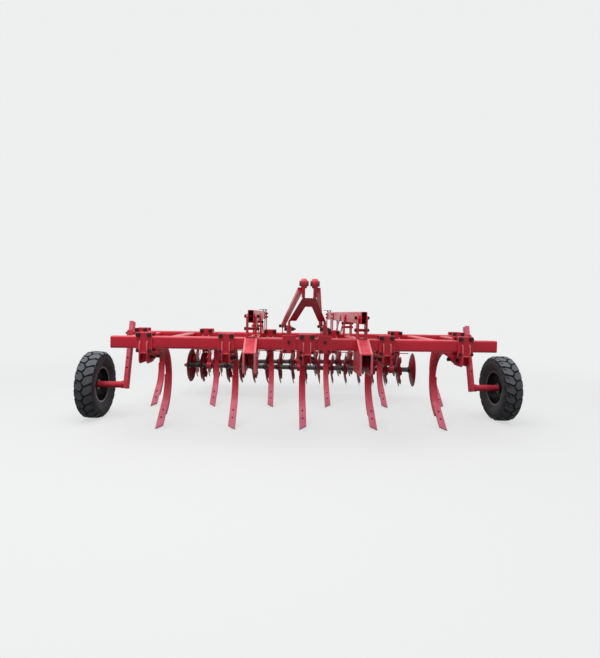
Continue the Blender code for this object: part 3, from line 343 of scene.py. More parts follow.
def on_machine(mesh):
    """Move a mesh from the drawing's Y to the frame's."""
    mesh.transform(Matrix.Translation((0.0, ZERO_Y, 0.0)))
    return mesh


def join(name, meshes):
    """One object from several meshes."""
    items = [show(name if i == 0 else name + "_part", mesh) for i, mesh in enumerate(meshes)]
    if len(items) > 1:
        with bpy.context.temp_override(active_object=items[0], object=items[0], selected_objects=items,
                                       selected_editable_objects=items):
            bpy.ops.object.join()
    return items[0]


def place(item, body, slot=None, nodes=()):
    """Let a finished piece ride on its body, in the place of the CAD nodes that it stands for."""
    if nodes:
        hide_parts(*nodes)
    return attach(item, body)


def loft(rings, joined=False):
    """A skin through rings of equally many points, with flat ends or the last ring joined to the first."""
    bm = bmesh.new()
    rows = [[bm.verts.new(point) for point in ring] for ring in rings]
    count = len(rows[0])
    for near, far in zip(rows, rows[1:] + (rows[:1] if joined else [])):
        for i in range(count):
            bm.faces.new((near[i], near[(i + 1) % count], far[(i + 1) % count], far[i]))
    if not joined:
        bm.faces.new(rows[0][::-1])
        bm.faces.new(rows[-1])
    bmesh.ops.recalc_face_normals(bm, faces=bm.faces)
    return bm


def block(low, high):
    """A block between two corners."""
    corners = ((low[0], low[1]), (high[0], low[1]), (high[0], high[1]), (low[0], high[1]))
    return loft([[(x, y, z) for x, y in corners] for z in (low[2], high[2])])


def turned_x(profile, count, joined=False):
    """An (axial, radius) profile turned round the X axis."""
    angles = [2 * math.pi * i / count for i in range(count)]
    return loft([[(axial, r * math.cos(a), r * math.sin(a)) for a in angles] for axial, r in profile], joined)


def break_edges(bm, reach):
    """Bevel the edges over 50 degrees that have room for it, and mark the new faces for worn paint and a
    painted highlight.
    """
    edge_wear_and_highlight = bm.faces.layers.float.new("worn_edge")

    def has_room(edge):
        near = {e for v in edge.verts for f in edge.link_faces for e in f.edges if v in e.verts}
        return all(e.calc_length() > 2.3 * reach for e in near)

    edges = [e for e in bm.edges if len(e.link_faces) == 2 and e.calc_face_angle(0.0) > math.radians(50.0)
             and has_room(e)]
    made = bmesh.ops.bevel(bm, geom=edges, offset=reach, offset_type="OFFSET", segments=2, profile=0.5,
                           affect="EDGES", clamp_overlap=False)
    for face in made["faces"]:
        face[edge_wear_and_highlight] = 1.0
    return bm


CHEEK_CUT = BEAM_Z - 0.01      # above this height the front edges of the holders' cheeks get a painted highlight


def on_cheek(face, size):
    """The narrow front edge of a holder's cheek."""
    return size.x < 0.014 and face.calc_center_median().z > CHEEK_CUT


def on_hitch_plate(face, size):
    """The front edge of a lower hitch plate."""
    return size.x < 0.023 and size.z > 0.02


# Rules for the narrow front faces that get a painted highlight.
HIGHLIGHT_FACES = {"holder_front": on_cheek, "holder_rear": on_cheek, "hitch_bracket": on_hitch_plate}


def mark_painted_highlight(bm, family):
    """Mark the narrow faces at the front of a piece that look forward, for a painted highlight where the
    light catches them.
    """
    rule = HIGHLIGHT_FACES.get(family)
    if rule is None:
        return
    if rule is on_cheek:
        bmesh.ops.bisect_plane(bm, geom=bm.verts[:] + bm.edges[:] + bm.faces[:], plane_co=UP * CHEEK_CUT,
                               plane_no=UP)
    pale = bm.faces.layers.float.new("pale_edge")
    for face in bm.faces:
        corners = [vertex.co for vertex in face.verts]
        size = Vector([max(c[i] for c in corners) - min(c[i] for c in corners) for i in range(3)])
        face[pale] = 1.0 if face.normal.y < -0.3 and rule(face, size) else 0.0


def broken_copy(node, key):
    """A CAD node's mesh, in its place, with its triangles merged and its sharp edges broken."""
    bm = bmesh.new()
    bm.from_mesh(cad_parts[node].data)
    bmesh.ops.remove_doubles(bm, verts=bm.verts, dist=0.00002)
    bmesh.ops.dissolve_limit(bm, angle_limit=math.radians(0.6), verts=bm.verts, edges=bm.edges)
    # Painted highlight on the narrow faces that look forward.
    mark_painted_highlight(bm, node.rsplit("_", 1)[0])
    return to_mesh(break_edges(bm, settings()[1].edge), node + "_finished", key, 34.0)


def finish_node(node, key="red", slot="red_paint", body="frame", extra=()):
    """Stand a finished copy in for a CAD node, with any meshes that are welded to it."""
    item = join(node + "_finished", [broken_copy(node, key)] + list(extra))
    weigh = item.modifiers.new("weighted normals", "WEIGHTED_NORMAL")
    weigh.keep_sharp = True
    weigh.mode = "FACE_AREA"
    return place(item, body, slot, (node,))


# Node trees for what repeats, each made the first time it is asked for

def new_tree(name, inputs):
    """A geometry tree with named inputs, and its input node."""
    tree = bpy.data.node_groups.new(name, "GeometryNodeTree")
    tree.interface.new_socket("Geometry", in_out="INPUT", socket_type="NodeSocketGeometry")
    kinds = {"m": "NodeSocketFloat", "int": "NodeSocketInt", "material": "NodeSocketMaterial",
             "vector": "NodeSocketVector"}
    for label, kind in inputs:
        socket = tree.interface.new_socket(label, in_out="INPUT", socket_type=kinds[kind])
        if kind == "m":
            socket.subtype = "DISTANCE"
    tree.interface.new_socket("Geometry", in_out="OUTPUT", socket_type="NodeSocketGeometry")
    return tree, tree.nodes.new("NodeGroupInput").outputs


def end_tree(tree, geometry, finish):
    """Realise the instances, give them their finish and end the tree."""
    real = add_node(tree, "GeometryNodeRealizeInstances", {"Geometry": geometry}, 0)
    done = add_node(tree, "GeometryNodeSetMaterial", {"Geometry": real, "Material": finish}, 0)
    add_node(tree, "NodeGroupOutput", {"Geometry": done})
    return tree


def grown(mesh, tree, values, sharp=None):
    """The plain mesh that a tree grows from a base mesh, smooth up to an angle where one is given."""
    base = show("base", mesh)
    modifier = base.modifiers.new("grow", "NODES")
    modifier.node_group = tree
    for socket in tree.interface.items_tree:
        if socket.item_type == "SOCKET" and socket.in_out == "INPUT" and socket.name in values:
            modifier[socket.identifier] = values[socket.name]
    graph = bpy.context.evaluated_depsgraph_get()
    result = bpy.data.meshes.new_from_object(base.evaluated_get(graph), preserve_all_data_layers=True,
                                             depsgraph=graph)
    base.modifiers.remove(modifier)
    bpy.data.objects.remove(base)
    if sharp is not None:
        result.shade_smooth()
        result.set_sharp_from_angle(angle=math.radians(sharp))
    return result


SPOT_LAYERS = (("axis", "FLOAT_VECTOR"), ("size", "FLOAT"), ("stub", "FLOAT"))


@cache
def bolt_tree():
    """A washer and a chamfered hex on each point, and a thread end where it has a stub, in flats."""
    tree, given = new_tree("hex bolts on points", (("Head height", "m"), ("Washer height", "m"),
                                                   ("Finish", "material")))
    high, flat = given["Head height"], given["Washer height"]
    parts = []
    for kind, sizes, lift in (
            ("Cylinder", {"Vertices": 16, "Radius": 0.62, "Depth": flat}, (flat, 0.5, 0.0)),
            ("Cylinder", {"Vertices": 6, "Radius": 0.577, "Depth": high}, (high, 0.5, flat)),
            ("Cone", {"Vertices": 12, "Radius Bottom": 0.54, "Radius Top": 0.47, "Depth": 0.05},
             (high, 1.0, flat))):
        z = add_node(tree, "ShaderNodeMath", dict(enumerate(lift)), 0, operation="MULTIPLY_ADD")
        parts.append(add_node(tree, "GeometryNodeTransform", {
            "Geometry": add_node(tree, "GeometryNodeMesh" + kind, sizes, "Mesh"),
            "Translation": add_node(tree, "ShaderNodeCombineXYZ", {"Z": z}, 0)}, 0))
    axis, size, stub = (add_node(tree, "GeometryNodeInputNamedAttribute", {"Name": label}, 0, data_type=kind)
                        for label, kind in SPOT_LAYERS)
    turn = add_node(tree, "FunctionNodeAlignRotationToVector", {"Vector": axis}, 0, axis="Z")
    heads = add_node(tree, "GeometryNodeInstanceOnPoints", {
        "Points": given["Geometry"], "Instance": add_node(tree, "GeometryNodeJoinGeometry", {0: parts}, 0),
        "Rotation": turn, "Scale": size}, 0)
    some = add_node(tree, "FunctionNodeCompare", {"A": stub, "B": 0.001}, 0, operation="GREATER_THAN")
    thread = add_node(tree, "GeometryNodeMeshCylinder", {"Vertices": 12, "Radius": 0.32, "Depth": 1.0}, 0)
    rest = add_node(tree, "GeometryNodeTransform", {"Geometry": thread, "Translation": (0.0, 0.0, 0.5)}, 0)
    long = add_node(tree, "ShaderNodeMath", {0: size, 1: stub}, 0, operation="MULTIPLY")
    ends = add_node(tree, "GeometryNodeInstanceOnPoints", {
        "Points": given["Geometry"], "Selection": some, "Instance": rest, "Rotation": turn,
        "Scale": add_node(tree, "ShaderNodeCombineXYZ", {"X": size, "Y": size, "Z": long}, 0)}, 0)
    return end_tree(tree, add_node(tree, "GeometryNodeJoinGeometry", {0: [heads, ends]}, 0), given["Finish"])


@cache
def row_tree():
    """The base mesh again and again along a straight line."""
    tree, given = new_tree("row along a shaft", (("Count", "int"), ("Start", "vector"), ("Step", "vector"),
                                                 ("Finish", "material")))
    line = add_node(tree, "GeometryNodeMeshLine", {"Count": given["Count"], "Start Location": given["Start"],
                                                   "Offset": given["Step"]}, 0)
    row = add_node(tree, "GeometryNodeInstanceOnPoints", {"Points": line, "Instance": given["Geometry"]}, 0)
    return end_tree(tree, row, given["Finish"])


@cache
def wheel_tree():
    """The base mesh again and again round an axis along X."""
    tree, given = new_tree("round the wheel", (("Count", "int"), ("Turn", "m"), ("Finish", "material")))
    line = add_node(tree, "GeometryNodeMeshLine", {"Offset": (0.0, 0.0, 0.0), "Count": given["Count"]}, 0)
    step = add_node(tree, "ShaderNodeMath", {0: 2 * math.pi, 1: given["Count"]}, 0, operation="DIVIDE")
    index = add_node(tree, "GeometryNodeInputIndex", out=0)
    angle = add_node(tree, "ShaderNodeMath", {0: index, 1: step, 2: given["Turn"]}, 0,
                     operation="MULTIPLY_ADD")
    turn = add_node(tree, "ShaderNodeCombineXYZ", {"X": angle}, 0)
    ring = add_node(tree, "GeometryNodeInstanceOnPoints", {
        "Points": line, "Instance": given["Geometry"], "Rotation": turn}, 0)
    return end_tree(tree, ring, given["Finish"])


@cache
def bar_tree():
    """A flat bar with round corners bent along the base mesh's edges."""
    tree, given = new_tree("bent bar", (("Width", "m"), ("Thickness", "m"), ("Corner", "m"),
                                        ("Finish", "material")))
    path = add_node(tree, "GeometryNodeMeshToCurve", {"Mesh": given["Geometry"]}, 0)
    section = add_node(tree, "GeometryNodeCurvePrimitiveQuadrilateral", {
        "Width": given["Width"], "Height": given["Thickness"]}, 0)
    soft = add_node(tree, "GeometryNodeFilletCurve", {
        "Count": 3, "Curve": section, "Radius": given["Corner"]}, 0, mode="POLY")
    skin = add_node(tree, "GeometryNodeCurveToMesh", {
        "Fill Caps": True, "Curve": path, "Profile Curve": soft}, 0)
    return end_tree(tree, skin, given["Finish"])


@cache
def bead_tree():
    """A rippled weld bead along the base mesh's edges."""
    tree, given = new_tree("weld bead", (("Radius", "m"), ("Ripple", "m"), ("Finish", "material")))
    path = add_node(tree, "GeometryNodeMeshToCurve", {"Mesh": given["Geometry"]}, 0)
    step = add_node(tree, "ShaderNodeMath", {0: given["Ripple"], 1: 0.5}, 0, operation="MULTIPLY")
    fine = add_node(tree, "GeometryNodeResampleCurve", {"Curve": path, "Length": step}, 0, mode="LENGTH")
    index = add_node(tree, "GeometryNodeSplineParameter", out="Index")
    odd = add_node(tree, "ShaderNodeMath", {0: index, 1: 2.0}, 0, operation="MODULO")
    swell = add_node(tree, "ShaderNodeMath", {0: odd, 1: 0.22, 2: 0.88}, 0, operation="MULTIPLY_ADD")
    circle = add_node(tree, "GeometryNodeCurvePrimitiveCircle", {
        "Resolution": 6, "Radius": given["Radius"]}, 0)
    skin = add_node(tree, "GeometryNodeCurveToMesh", {
        "Fill Caps": True, "Curve": fine, "Profile Curve": circle, "Scale": swell}, 0)
    return end_tree(tree, skin, given["Finish"])


def path_mesh(lines):
    """A mesh of loose edges, one chain for each list of points."""
    points, edges = [], []
    for line in lines:
        first = len(points)
        points += [tuple(point) for point in line]
        edges += [(first + i, first + i + 1) for i in range(len(line) - 1)]
    mesh = bpy.data.meshes.new("path")
    mesh.from_pydata(points, edges, [])
    return mesh


def bolts(spots):
    """Bolt heads and nuts; each spot is (point, axis, across flats, thread end in flats)."""
    mesh = bpy.data.meshes.new("bolt spots")
    mesh.from_pydata([tuple(spot[0]) for spot in spots], [], [])
    for index, (label, kind) in enumerate(SPOT_LAYERS, 1):
        layer = mesh.attributes.new(label, kind, "POINT")
        for item, spot in zip(layer.data, spots):
            setattr(item, "vector" if kind == "FLOAT_VECTOR" else "value", spot[index])
    return on_machine(grown(mesh, bolt_tree(), {
        "Head height": 0.58, "Washer height": 0.10, "Finish": material("oxide")}, 30.0))


def beads(lines, radius=None, ripple=0.012, key="weld"):
    """Weld beads along lines on the machine's drawing."""
    made = grown(path_mesh(lines), bead_tree(), {
        "Radius": radius or settings()[1].bead, "Ripple": ripple, "Finish": material(key)})
    made.shade_smooth()
    return on_machine(made)


def bent_bar(line, width, thickness, corner, key):
    """A flat bar bent along one line of points."""
    return grown(path_mesh([line]), bar_tree(), {
        "Width": width, "Thickness": thickness, "Corner": corner, "Finish": material(key)}, 34.0)


NUT_HIGH = 0.68                # washer and nut, in flats; the thread end stands past them


def through(x, y, z, reach, size, way=RIGHT, stub=0.6):
    """A bolt head and a nut on both sides of what they clamp."""
    spot = Vector((x, y, z))
    return [(spot - way * reach, -way, size, 0.0), (spot + way * reach, way, size, NUT_HIGH + stub)]


# Frame

TUBE_CORNER = 0.008            # the welds stop short of the tubes' round corners


class SUBSOILER_OT_frame(bpy.types.Operator):
    """Two cross beams, six fore-and-aft tubes and their welds"""
    bl_idname = "subsoiler.frame"
    bl_label = "Frame"

    def execute(self, context):
        tubes = ["member_" + name for name in MEMBERS]
        for node in ["beam_front", "beam_rear"] + tubes:
            finish_node(node)
        lines = []
        for tube in tubes:
            (x0, y0, z0), (x1, y1, z1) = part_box(tube)
            for y in (y0 - ZERO_Y, y1 - ZERO_Y):
                lines += [[(x0 + TUBE_CORNER, y, z), (x1 - TUBE_CORNER, y, z)] for z in (z1, z0)]
                lines += [[(x, y, z0 + TUBE_CORNER), (x, y, z1 - TUBE_CORNER)] for x in (x0, x1)]
        place(show("frame_welds", beads(lines)), "frame", "red_paint")
        return {"FINISHED"}


# Tines: a shank is an arch and a sweep, and the wear plate, the scoured strip and the point lie on its inside

SHANK_W, SHANK_T, SHANK_CORNER = 0.060, 0.080, 0.006
ARCH_Y, ARCH_Z, ARCH_R = 0.570, 0.530, 0.390
SWEEP_R = 0.45
SWEEP_Y = ARCH_Y + ARCH_R - SWEEP_R
ROOT_Y = 0.03
HEEL, SWEEP_END, POINT_AT, SCOURED_FROM = (math.radians(angle) for angle in (8, 58, 48, 39))
PLATE_FROM = 0.09                                     # the wear plate begins this angle up the arch
PLATE, PLATE_MID = (0.078, 0.016, 0.003), -SHANK_T / 2 - 0.005        # width, thickness, corner; middle
SCOURED, SCOURED_MID = (0.080, 0.018, 0.002), -SHANK_T / 2 - 0.006    # the same of the scoured strip
POINT_W, POINT_T, POINT_LAP, POINT_SKEW, POINT_CROWN = 0.080, 0.022, 0.030, 0.045, 0.004
POINT_RINGS = 9
PLOUGH_BOLTS = ((0.085, 0.0222), (0.190, 0.0212))     # how far down the point, and how high its face is there
PLOUGH_HEAD = ((-0.004, 0.0005), (-0.004, 0.012), (0.0015, 0.012), (0.0025, 0.0105), (0.0025, 0.0005))


def bend(centre_y, radius, start, end, steps, shift=0.0):
    """Points on a bend in the plane of a tine."""
    angles = [start + (end - start) * i / steps for i in range(steps + 1)]
    return [(0.0, centre_y + (radius + shift) * math.cos(a), ARCH_Z + (radius + shift) * math.sin(a))
            for a in angles]


def point_mesh(long_left, touch, down, front):
    """A crowned chisel point, longer at one edge, drawn from where it leaves the shank."""
    reach = touch.z / math.cos(POINT_AT)
    rings = []
    for k in range(POINT_RINGS):
        share = k / (POINT_RINGS - 1)
        along = reach - POINT_SKEW * (share if long_left else 1 - share)
        crown = POINT_CROWN * (1 - (2 * share - 1) ** 2)
        outline = ((along, 0.0), (-POINT_LAP, -0.003), (-POINT_LAP, 0.010),
                   (0.01, POINT_T - 0.003 + crown * 0.7), (0.04, POINT_T - 0.003 + crown),
                   (along, POINT_T - 0.006 + crown))
        side = Vector(((share - 0.5) * POINT_W, 0, 0))
        rings.append([touch + side + down * d + front * h for d, h in outline])
    return to_mesh(break_edges(loft(rings), 0.002), "point", "point", 30.0)


def tine_meshes(long_left):
    """Shank, wear plate, scoured strip and chisel point of a tine at X 0 in the front row."""
    start = math.pi / 2 + HEEL
    arch = bend(ARCH_Y, ARCH_R, start, 0.0, 40)
    back = (ROOT_Y - arch[0][1]) / math.sin(start)
    root = (0.0, ROOT_Y, arch[0][2] - back * math.cos(start))
    sweep = bend(SWEEP_Y, SWEEP_R, 0.0, -SWEEP_END, 26)[1:]
    plate = bend(ARCH_Y, ARCH_R, PLATE_FROM, 0.0, 3, PLATE_MID)
    plate += bend(SWEEP_Y, SWEEP_R, 0.0, -POINT_AT, 22, PLATE_MID)[1:]
    strip = bend(SWEEP_Y, SWEEP_R, -SCOURED_FROM, -POINT_AT, 8, SCOURED_MID)
    face = SWEEP_R - SHANK_T / 2
    touch = Vector((0.0, SWEEP_Y + face * math.cos(POINT_AT), ARCH_Z - face * math.sin(POINT_AT)))
    down = Vector((0.0, -math.sin(POINT_AT), -math.cos(POINT_AT)))
    front = Vector((0.0, -math.cos(POINT_AT), math.sin(POINT_AT)))
    meshes = [bent_bar([root] + arch + sweep, SHANK_W, SHANK_T, SHANK_CORNER, "tine"),
              bent_bar(plate, *PLATE, "tine"), bent_bar(strip, *SCOURED, "point"),
              point_mesh(long_left, touch, down, front)]
    for along, height in PLOUGH_BOLTS:
        head = to_mesh(turned_x(PLOUGH_HEAD, 24, True), "head", "disc", 45.0)
        turn = RIGHT.rotation_difference(front).to_matrix().to_4x4()
        head.transform(Matrix.Translation(touch + down * along + front * height) @ turn)
        meshes.append(head)
    return meshes


class SUBSOILER_OT_tines(bpy.types.Operator):
    """Eleven curved tines with wear plates and chisel points"""
    bl_idname = "subsoiler.tines"
    bl_label = "Tines"

    def execute(self, context):
        patterns = {long_left: join("tine_pattern", tine_meshes(long_left)) for long_left in (True, False)}
        for name in FRONT_TINES + REAR_TINES:
            node = "tine_" + name
            row = ROW if name in REAR_TINES else 0.0
            mesh = patterns[name in LONG_EDGE_LEFT].data.copy()
            mesh.transform(Matrix.Translation((middle(node).x, row, 0.0)))
            place(show(node + "_finished", on_machine(mesh)), "frame", "worn_red_paint", (node,))
        for pattern in patterns.values():
            bpy.data.objects.remove(pattern)
        return {"FINISHED"}


# Holders

CLAMP_OUT = 0.0203             # outer faces of the clamp plates, from the beam's faces
CHEEK_OUT = 0.0423             # outer faces of the cheeks, from the tine's middle
UPPER_X, UPPER_Z = 0.0525, BEAM_TOP + 0.0135
LOWER_X, LOWER_Z = 0.0610, BEAM_Z - 0.0190
CHEEK_BOLTS = ((0.070, 0.848), (0.300, 0.842))
CHEEK_WELDS = ((-CLAMP_OUT, 0.908, 1.016), (0.1405, 0.908, 0.940))


def holder_bolts(x, row, hardware):
    """Clamp bolts over and under the beam, and cross bolts through the cheeks."""
    spots = []
    for side in (-1, 1):
        for offset, z, size in ((UPPER_X, UPPER_Z, hardware.bolt), (LOWER_X, LOWER_Z, hardware.small_bolt)):
            spots += through(x + side * offset, row + BEAM / 2, z, BEAM / 2 + CLAMP_OUT, size, BACK)
    for y, z in CHEEK_BOLTS:
        spots += through(x, row + y, z, CHEEK_OUT, hardware.bolt)
    return spots


class SUBSOILER_OT_holders(bpy.types.Operator):
    """Tine holders with their clamp bolts and welds"""
    bl_idname = "subsoiler.holders"
    bl_label = "Tine holders"

    def execute(self, context):
        hardware = settings()[1]
        spots, lines, shanks = [], [], []
        for name in FRONT_TINES + REAR_TINES:
            node = "holder_" + name
            x = middle(node).x
            row = ROW if name in REAR_TINES else 0.0
            finish_node(node)
            spots += holder_bolts(x, row, hardware)
            for side in (-1, 1):
                edge, bolt = x + side * CHEEK_OUT, x + side * UPPER_X
                lines += [[(edge, row + y, low), (edge, row + y, high)] for y, low, high in CHEEK_WELDS]
                shanks.append([(bolt, row - 0.018, UPPER_Z), (bolt, row + BEAM + 0.018, UPPER_Z)])
        place(show("holder_bolts", bolts(spots)), "frame")
        place(show("holder_welds", beads(lines)), "frame", "red_paint")
        place(show("holder_bolt_shanks", beads(shanks, 0.0115, 0.05, "oxide")), "frame")
        return {"FINISHED"}


# Headstock

EYE_Y, EYE_Z = -0.27, 1.59     # the top link's eye
EAR_X = 0.051                  # the middle of an ear
COLLAR_X = 0.0365              # the middle of a bush's collar, from the ear's
COLLAR = ((-0.006, 0.0165), (-0.006, 0.0265), (0.006, 0.0265), (0.006, 0.0165))
BOSS = ((-0.027, 0.0265), (-0.027, 0.041), (-0.021, 0.0455), (0.021, 0.0455), (0.027, 0.041), (0.027, 0.0265))
DOUBLER_X = (0.0622, 0.0700)
DOUBLER = ((-0.278, 1.462), (-0.205, 1.462), (-0.232, 1.585), (-0.303, 1.585))
FOOT_BOLTS = ((0.0, 1.025), (-0.038, 0.935), (0.038, 0.935))
STAY_X = 0.245
HITCH_X = 0.555                # the middle of a lower hitch bracket, and of an arm of the disc unit
UPRIGHT_OUT = 0.0520           # outer faces of the uprights' plates, from their middle
UPRIGHT_BOLTS = (("front", 1.275, 0.030), ("front", 1.150, 0.030), ("rear", 1.1982, 0.028),
                 ("rear", 1.150, 0.024))
UPRIGHT_FOOT = 1.0525          # where the rear uprights stand on the tubes


def ear_trim(side):
    """Collars, boss and doubler of one of the mast's ears."""
    ear = side * EAR_X
    rings = [(ear + face * COLLAR_X, COLLAR, 32, "black", 30.0) for face in (-1, 1)]
    rings.append((ear, BOSS, 36, "red", 50.0))
    trim = []
    for x, profile, count, key, sharp in rings:
        mesh = to_mesh(turned_x([(x + a, r) for a, r in profile], count, True), "eye_ring", key, sharp)
        mesh.transform(Matrix.Translation((0.0, EYE_Y, EYE_Z)))
        trim.append(on_machine(mesh))
    doubler = loft([[(side * x, y, z) for y, z in DOUBLER] for x in DOUBLER_X])
    return trim + [on_machine(to_mesh(break_edges(doubler, 0.0015), "ear_doubler", "red"))]


class SUBSOILER_OT_headstock(bpy.types.Operator):
    """Mast with its feet and stays, lower hitch brackets and the uprights of the disc unit"""
    bl_idname = "subsoiler.headstock"
    bl_label = "Headstock"

    def execute(self, context):
        finish_node("mast", extra=ear_trim(-1) + ear_trim(1))
        spots, lines = [], []
        for name, side in SIDES:
            for node in ("mast_foot_", "mast_stay_", "hitch_bracket_", "upright_front_", "upright_rear_"):
                finish_node(node + name)
            foot = middle("mast_foot_" + name)
            spots += through(foot.x, BEAM / 2, BEAM_TOP + 0.090, 0.0233, 0.034)
            spots += [((foot.x + x, -0.0143, z), -BACK, 0.024, 0.0) for x, z in FOOT_BOLTS]
            spots += through(side * STAY_X, ROW + BEAM / 2, BEAM_TOP + 0.085, 0.0225, 0.034)
            uprights = {row: middle("upright_" + row + "_" + name) for row in ("front", "rear")}
            for row, z, size in UPRIGHT_BOLTS:
                spots += through(uprights[row].x, uprights[row].y, z, UPRIGHT_OUT, size, stub=0.2)
            for edge in (-1, 1):
                for row, z in (("front", BEAM_TOP), ("rear", UPRIGHT_FOOT)):
                    x, y = uprights[row].x + edge * UPRIGHT_OUT, uprights[row].y
                    lines.append([(x, y - 0.050, z), (x, y + 0.050, z)])
                x = side * HITCH_X + edge * 0.063
                lines.append([(x, 0.004, BEAM_Z - 0.001), (x, 0.150, BEAM_Z - 0.001)])
                lines.append([(x, -0.001, BEAM_Z + 0.004), (x, -0.001, BEAM_TOP - 0.004)])
        place(show("headstock_bolts", bolts(spots)), "frame")
        place(show("headstock_welds", beads(lines)), "frame", "red_paint")
        return {"FINISHED"}


# Disc unit: a gang's pieces are drawn round its own shaft along X

SKEW = math.radians(5)
GANGS = (("front", 2.45, -SKEW), ("rear", 3.25, SKEW))
GANG_Z = 0.475
DISC_R, DISC_DISH, DISC_T = 0.255, 0.045, 0.005
DISC_COUNT = 18
DISC_PITCH = 0.2 / math.cos(SKEW)
DISC_RINGS = (0.15, 0.32, 0.50, 0.68, 0.82, 0.93, 1.0)
FIRST_HUB = -DISC_PITCH * (DISC_COUNT - 1) / 2
NOTCH_DEPTH, NOTCH_HALF = 0.045, 0.26    # half a notch's width is part of the pitch from notch to notch
LEGS_X = (-1.4, 0.0, 1.4)
DROP_BOLTS_Z = (0.965, 1.24, 1.30)
RAIL_Y, RAIL_Z, RAIL_SPARE = 0.215, 0.705, 0.02
HANGER = ((0.030, 0.800), (0.120, 0.790), (0.205, 0.720))
SCRAPER_ARM = ((0.072, 0.205, 0.235), (0.072, 0.205, 0.190), (0.070, 0.198, 0.165), (0.064, 0.178, 0.135),
               (0.056, 0.155, 0.110), (0.049, 0.135, 0.095))


def gang_frame(y, skew):
    """From a gang's own axis to the machine's drawing."""
    return Matrix.Translation((0.0, y, 0.0)) @ Matrix.Rotation(skew, 4, "Z")


def along_shaft(base, key, count, first, pitch, z=0.0):
    """A mesh again and again along a gang's shaft."""
    return grown(base, row_tree(), {"Count": count, "Start": (first, 0.0, z), "Step": (pitch, 0.0, 0.0),
                                         "Finish": material(key)})


def scraper_mesh():
    """A scraper arm bent down from its rail to the hollow face of a disc, drawn from the disc's hub."""
    arm = bent_bar(SCRAPER_ARM, 0.006, 0.024, 0.001, "red")
    blade = block((0.043, 0.085, 0.055), (0.047, 0.150, 0.115))
    bmesh.ops.rotate(blade, verts=blade.verts, cent=(0.045, 0.12, 0.085), matrix=Matrix.Rotation(0.5, 3, "X"))
    item = join("scraper", [arm, to_mesh(break_edges(blade, 0.001), "blade", "red")])
    made = item.data.copy()
    bpy.data.objects.remove(item)
    return made


class SUBSOILER_OT_disc_unit(bpy.types.Operator):
    """Long arms, skewed gang beams, clamp plates and scrapers of the disc unit"""
    bl_idname = "subsoiler.disc_unit"
    bl_label = "Disc unit"

    def execute(self, context):
        for node in ("arm_left", "arm_right", "gang_beam_front", "gang_beam_rear"):
            finish_node(node, body="disc_unit")
        spots, plates, scrapers = [], [], []
        for name, gang_y, skew in GANGS:
            turn = gang_frame(gang_y, skew)
            for side in (-1, 1):
                x = side * HITCH_X
                y = gang_y + x * math.tan(skew)
                if name == "rear":
                    strap = block((x - 0.095, y - 0.025, 1.3620), (x + 0.045, y + 0.025, 1.3700))
                    plates.append(on_machine(to_mesh(break_edges(strap, 0.002), "strap", "oxide")))
                    spots += [((x + dx, y, 1.3378), UP, 0.022, 1.05) for dx in (-0.022, 0.022)]
                for z in DROP_BOLTS_Z:
                    spots += through(x, y, z, 0.0425, 0.022, stub=0.2)
            legs = [x / math.cos(skew) + DISC_DISH / 2 for x in LEGS_X]
            spots += [(turn @ Vector((leg + dx, dy, 0.8955)), UP, 0.024, 0.8)
                      for leg in legs for dx in (-0.030, 0.030) for dy in (-0.030, 0.030)]
            rail = [(x, RAIL_Y, RAIL_Z) for x in (FIRST_HUB - RAIL_SPARE, 0.0, RAIL_SPARE - FIRST_HUB)]
            meshes = [along_shaft(scraper_mesh(), "red", DISC_COUNT - 1, FIRST_HUB, DISC_PITCH, GANG_Z),
                      bent_bar(rail, 0.030, 0.012, 0.002, "red")]
            meshes += [bent_bar([(leg + 0.040, y, z) for y, z in HANGER], 0.012, 0.040, 0.002, "red")
                       for leg in legs]
            for mesh in meshes:
                mesh.transform(Matrix.Translation((0.0, ZERO_Y, 0.0)) @ turn)
            scrapers += meshes
        place(join("disc_unit_straps", plates), "disc_unit", "red_paint")
        place(join("disc_unit_scrapers", scrapers), "disc_unit", "red_paint")
        place(show("disc_unit_bolts", bolts(spots)), "disc_unit")
        return {"FINISHED"}


def disc_mesh(notches, count=96):
    """A dished disc drawn from its hub, with sickle-shaped notches where notches is above zero."""
    def edge_radius(angle):
        if not notches:
            return DISC_R
        turn = (angle * notches / (2 * math.pi)) % 1.0
        depth = max(0.0, 1.0 - abs(turn - 0.5) / NOTCH_HALF)
        return DISC_R - NOTCH_DEPTH * math.sin(depth * math.pi / 2) ** 0.8

    rings = []
    for back in (True, False):
        for share in DISC_RINGS if back else DISC_RINGS[::-1]:
            ring = []
            for i in range(count):
                angle = 2 * math.pi * i / count
                edge = edge_radius(angle)
                r = min(share * (edge if share > 0.8 else DISC_R), edge * (0.86 + 0.14 * share))
                bevel = 0.0025 if share == 1.0 and back else 0.0
                axial = DISC_DISH * (r / DISC_R) ** 2 - (DISC_T if back else 0.0) + bevel
                ring.append((axial, r * math.cos(angle), r * math.sin(angle)))
            rings.append(ring)
    return to_mesh(loft(rings, joined=True), "disc", "disc", 40.0)


def spool_mesh(length):
    """A cast spool between two discs, with a collar at each end."""
    half = [(0.0, 0.034), (0.001, 0.052), (0.012, 0.052), (0.020, 0.040), (0.035, 0.0365)]
    profile = half + [(length - a, r) for a, r in half[::-1]]
    return to_mesh(turned_x(profile, 32), "spool", "black", 45.0)


END_CONE = ((0.0, 0.036), (0.0, 0.050), (0.012, 0.050), (0.030, 0.044), (0.045, 0.030), (0.050, 0.022),
            (0.070, 0.020))


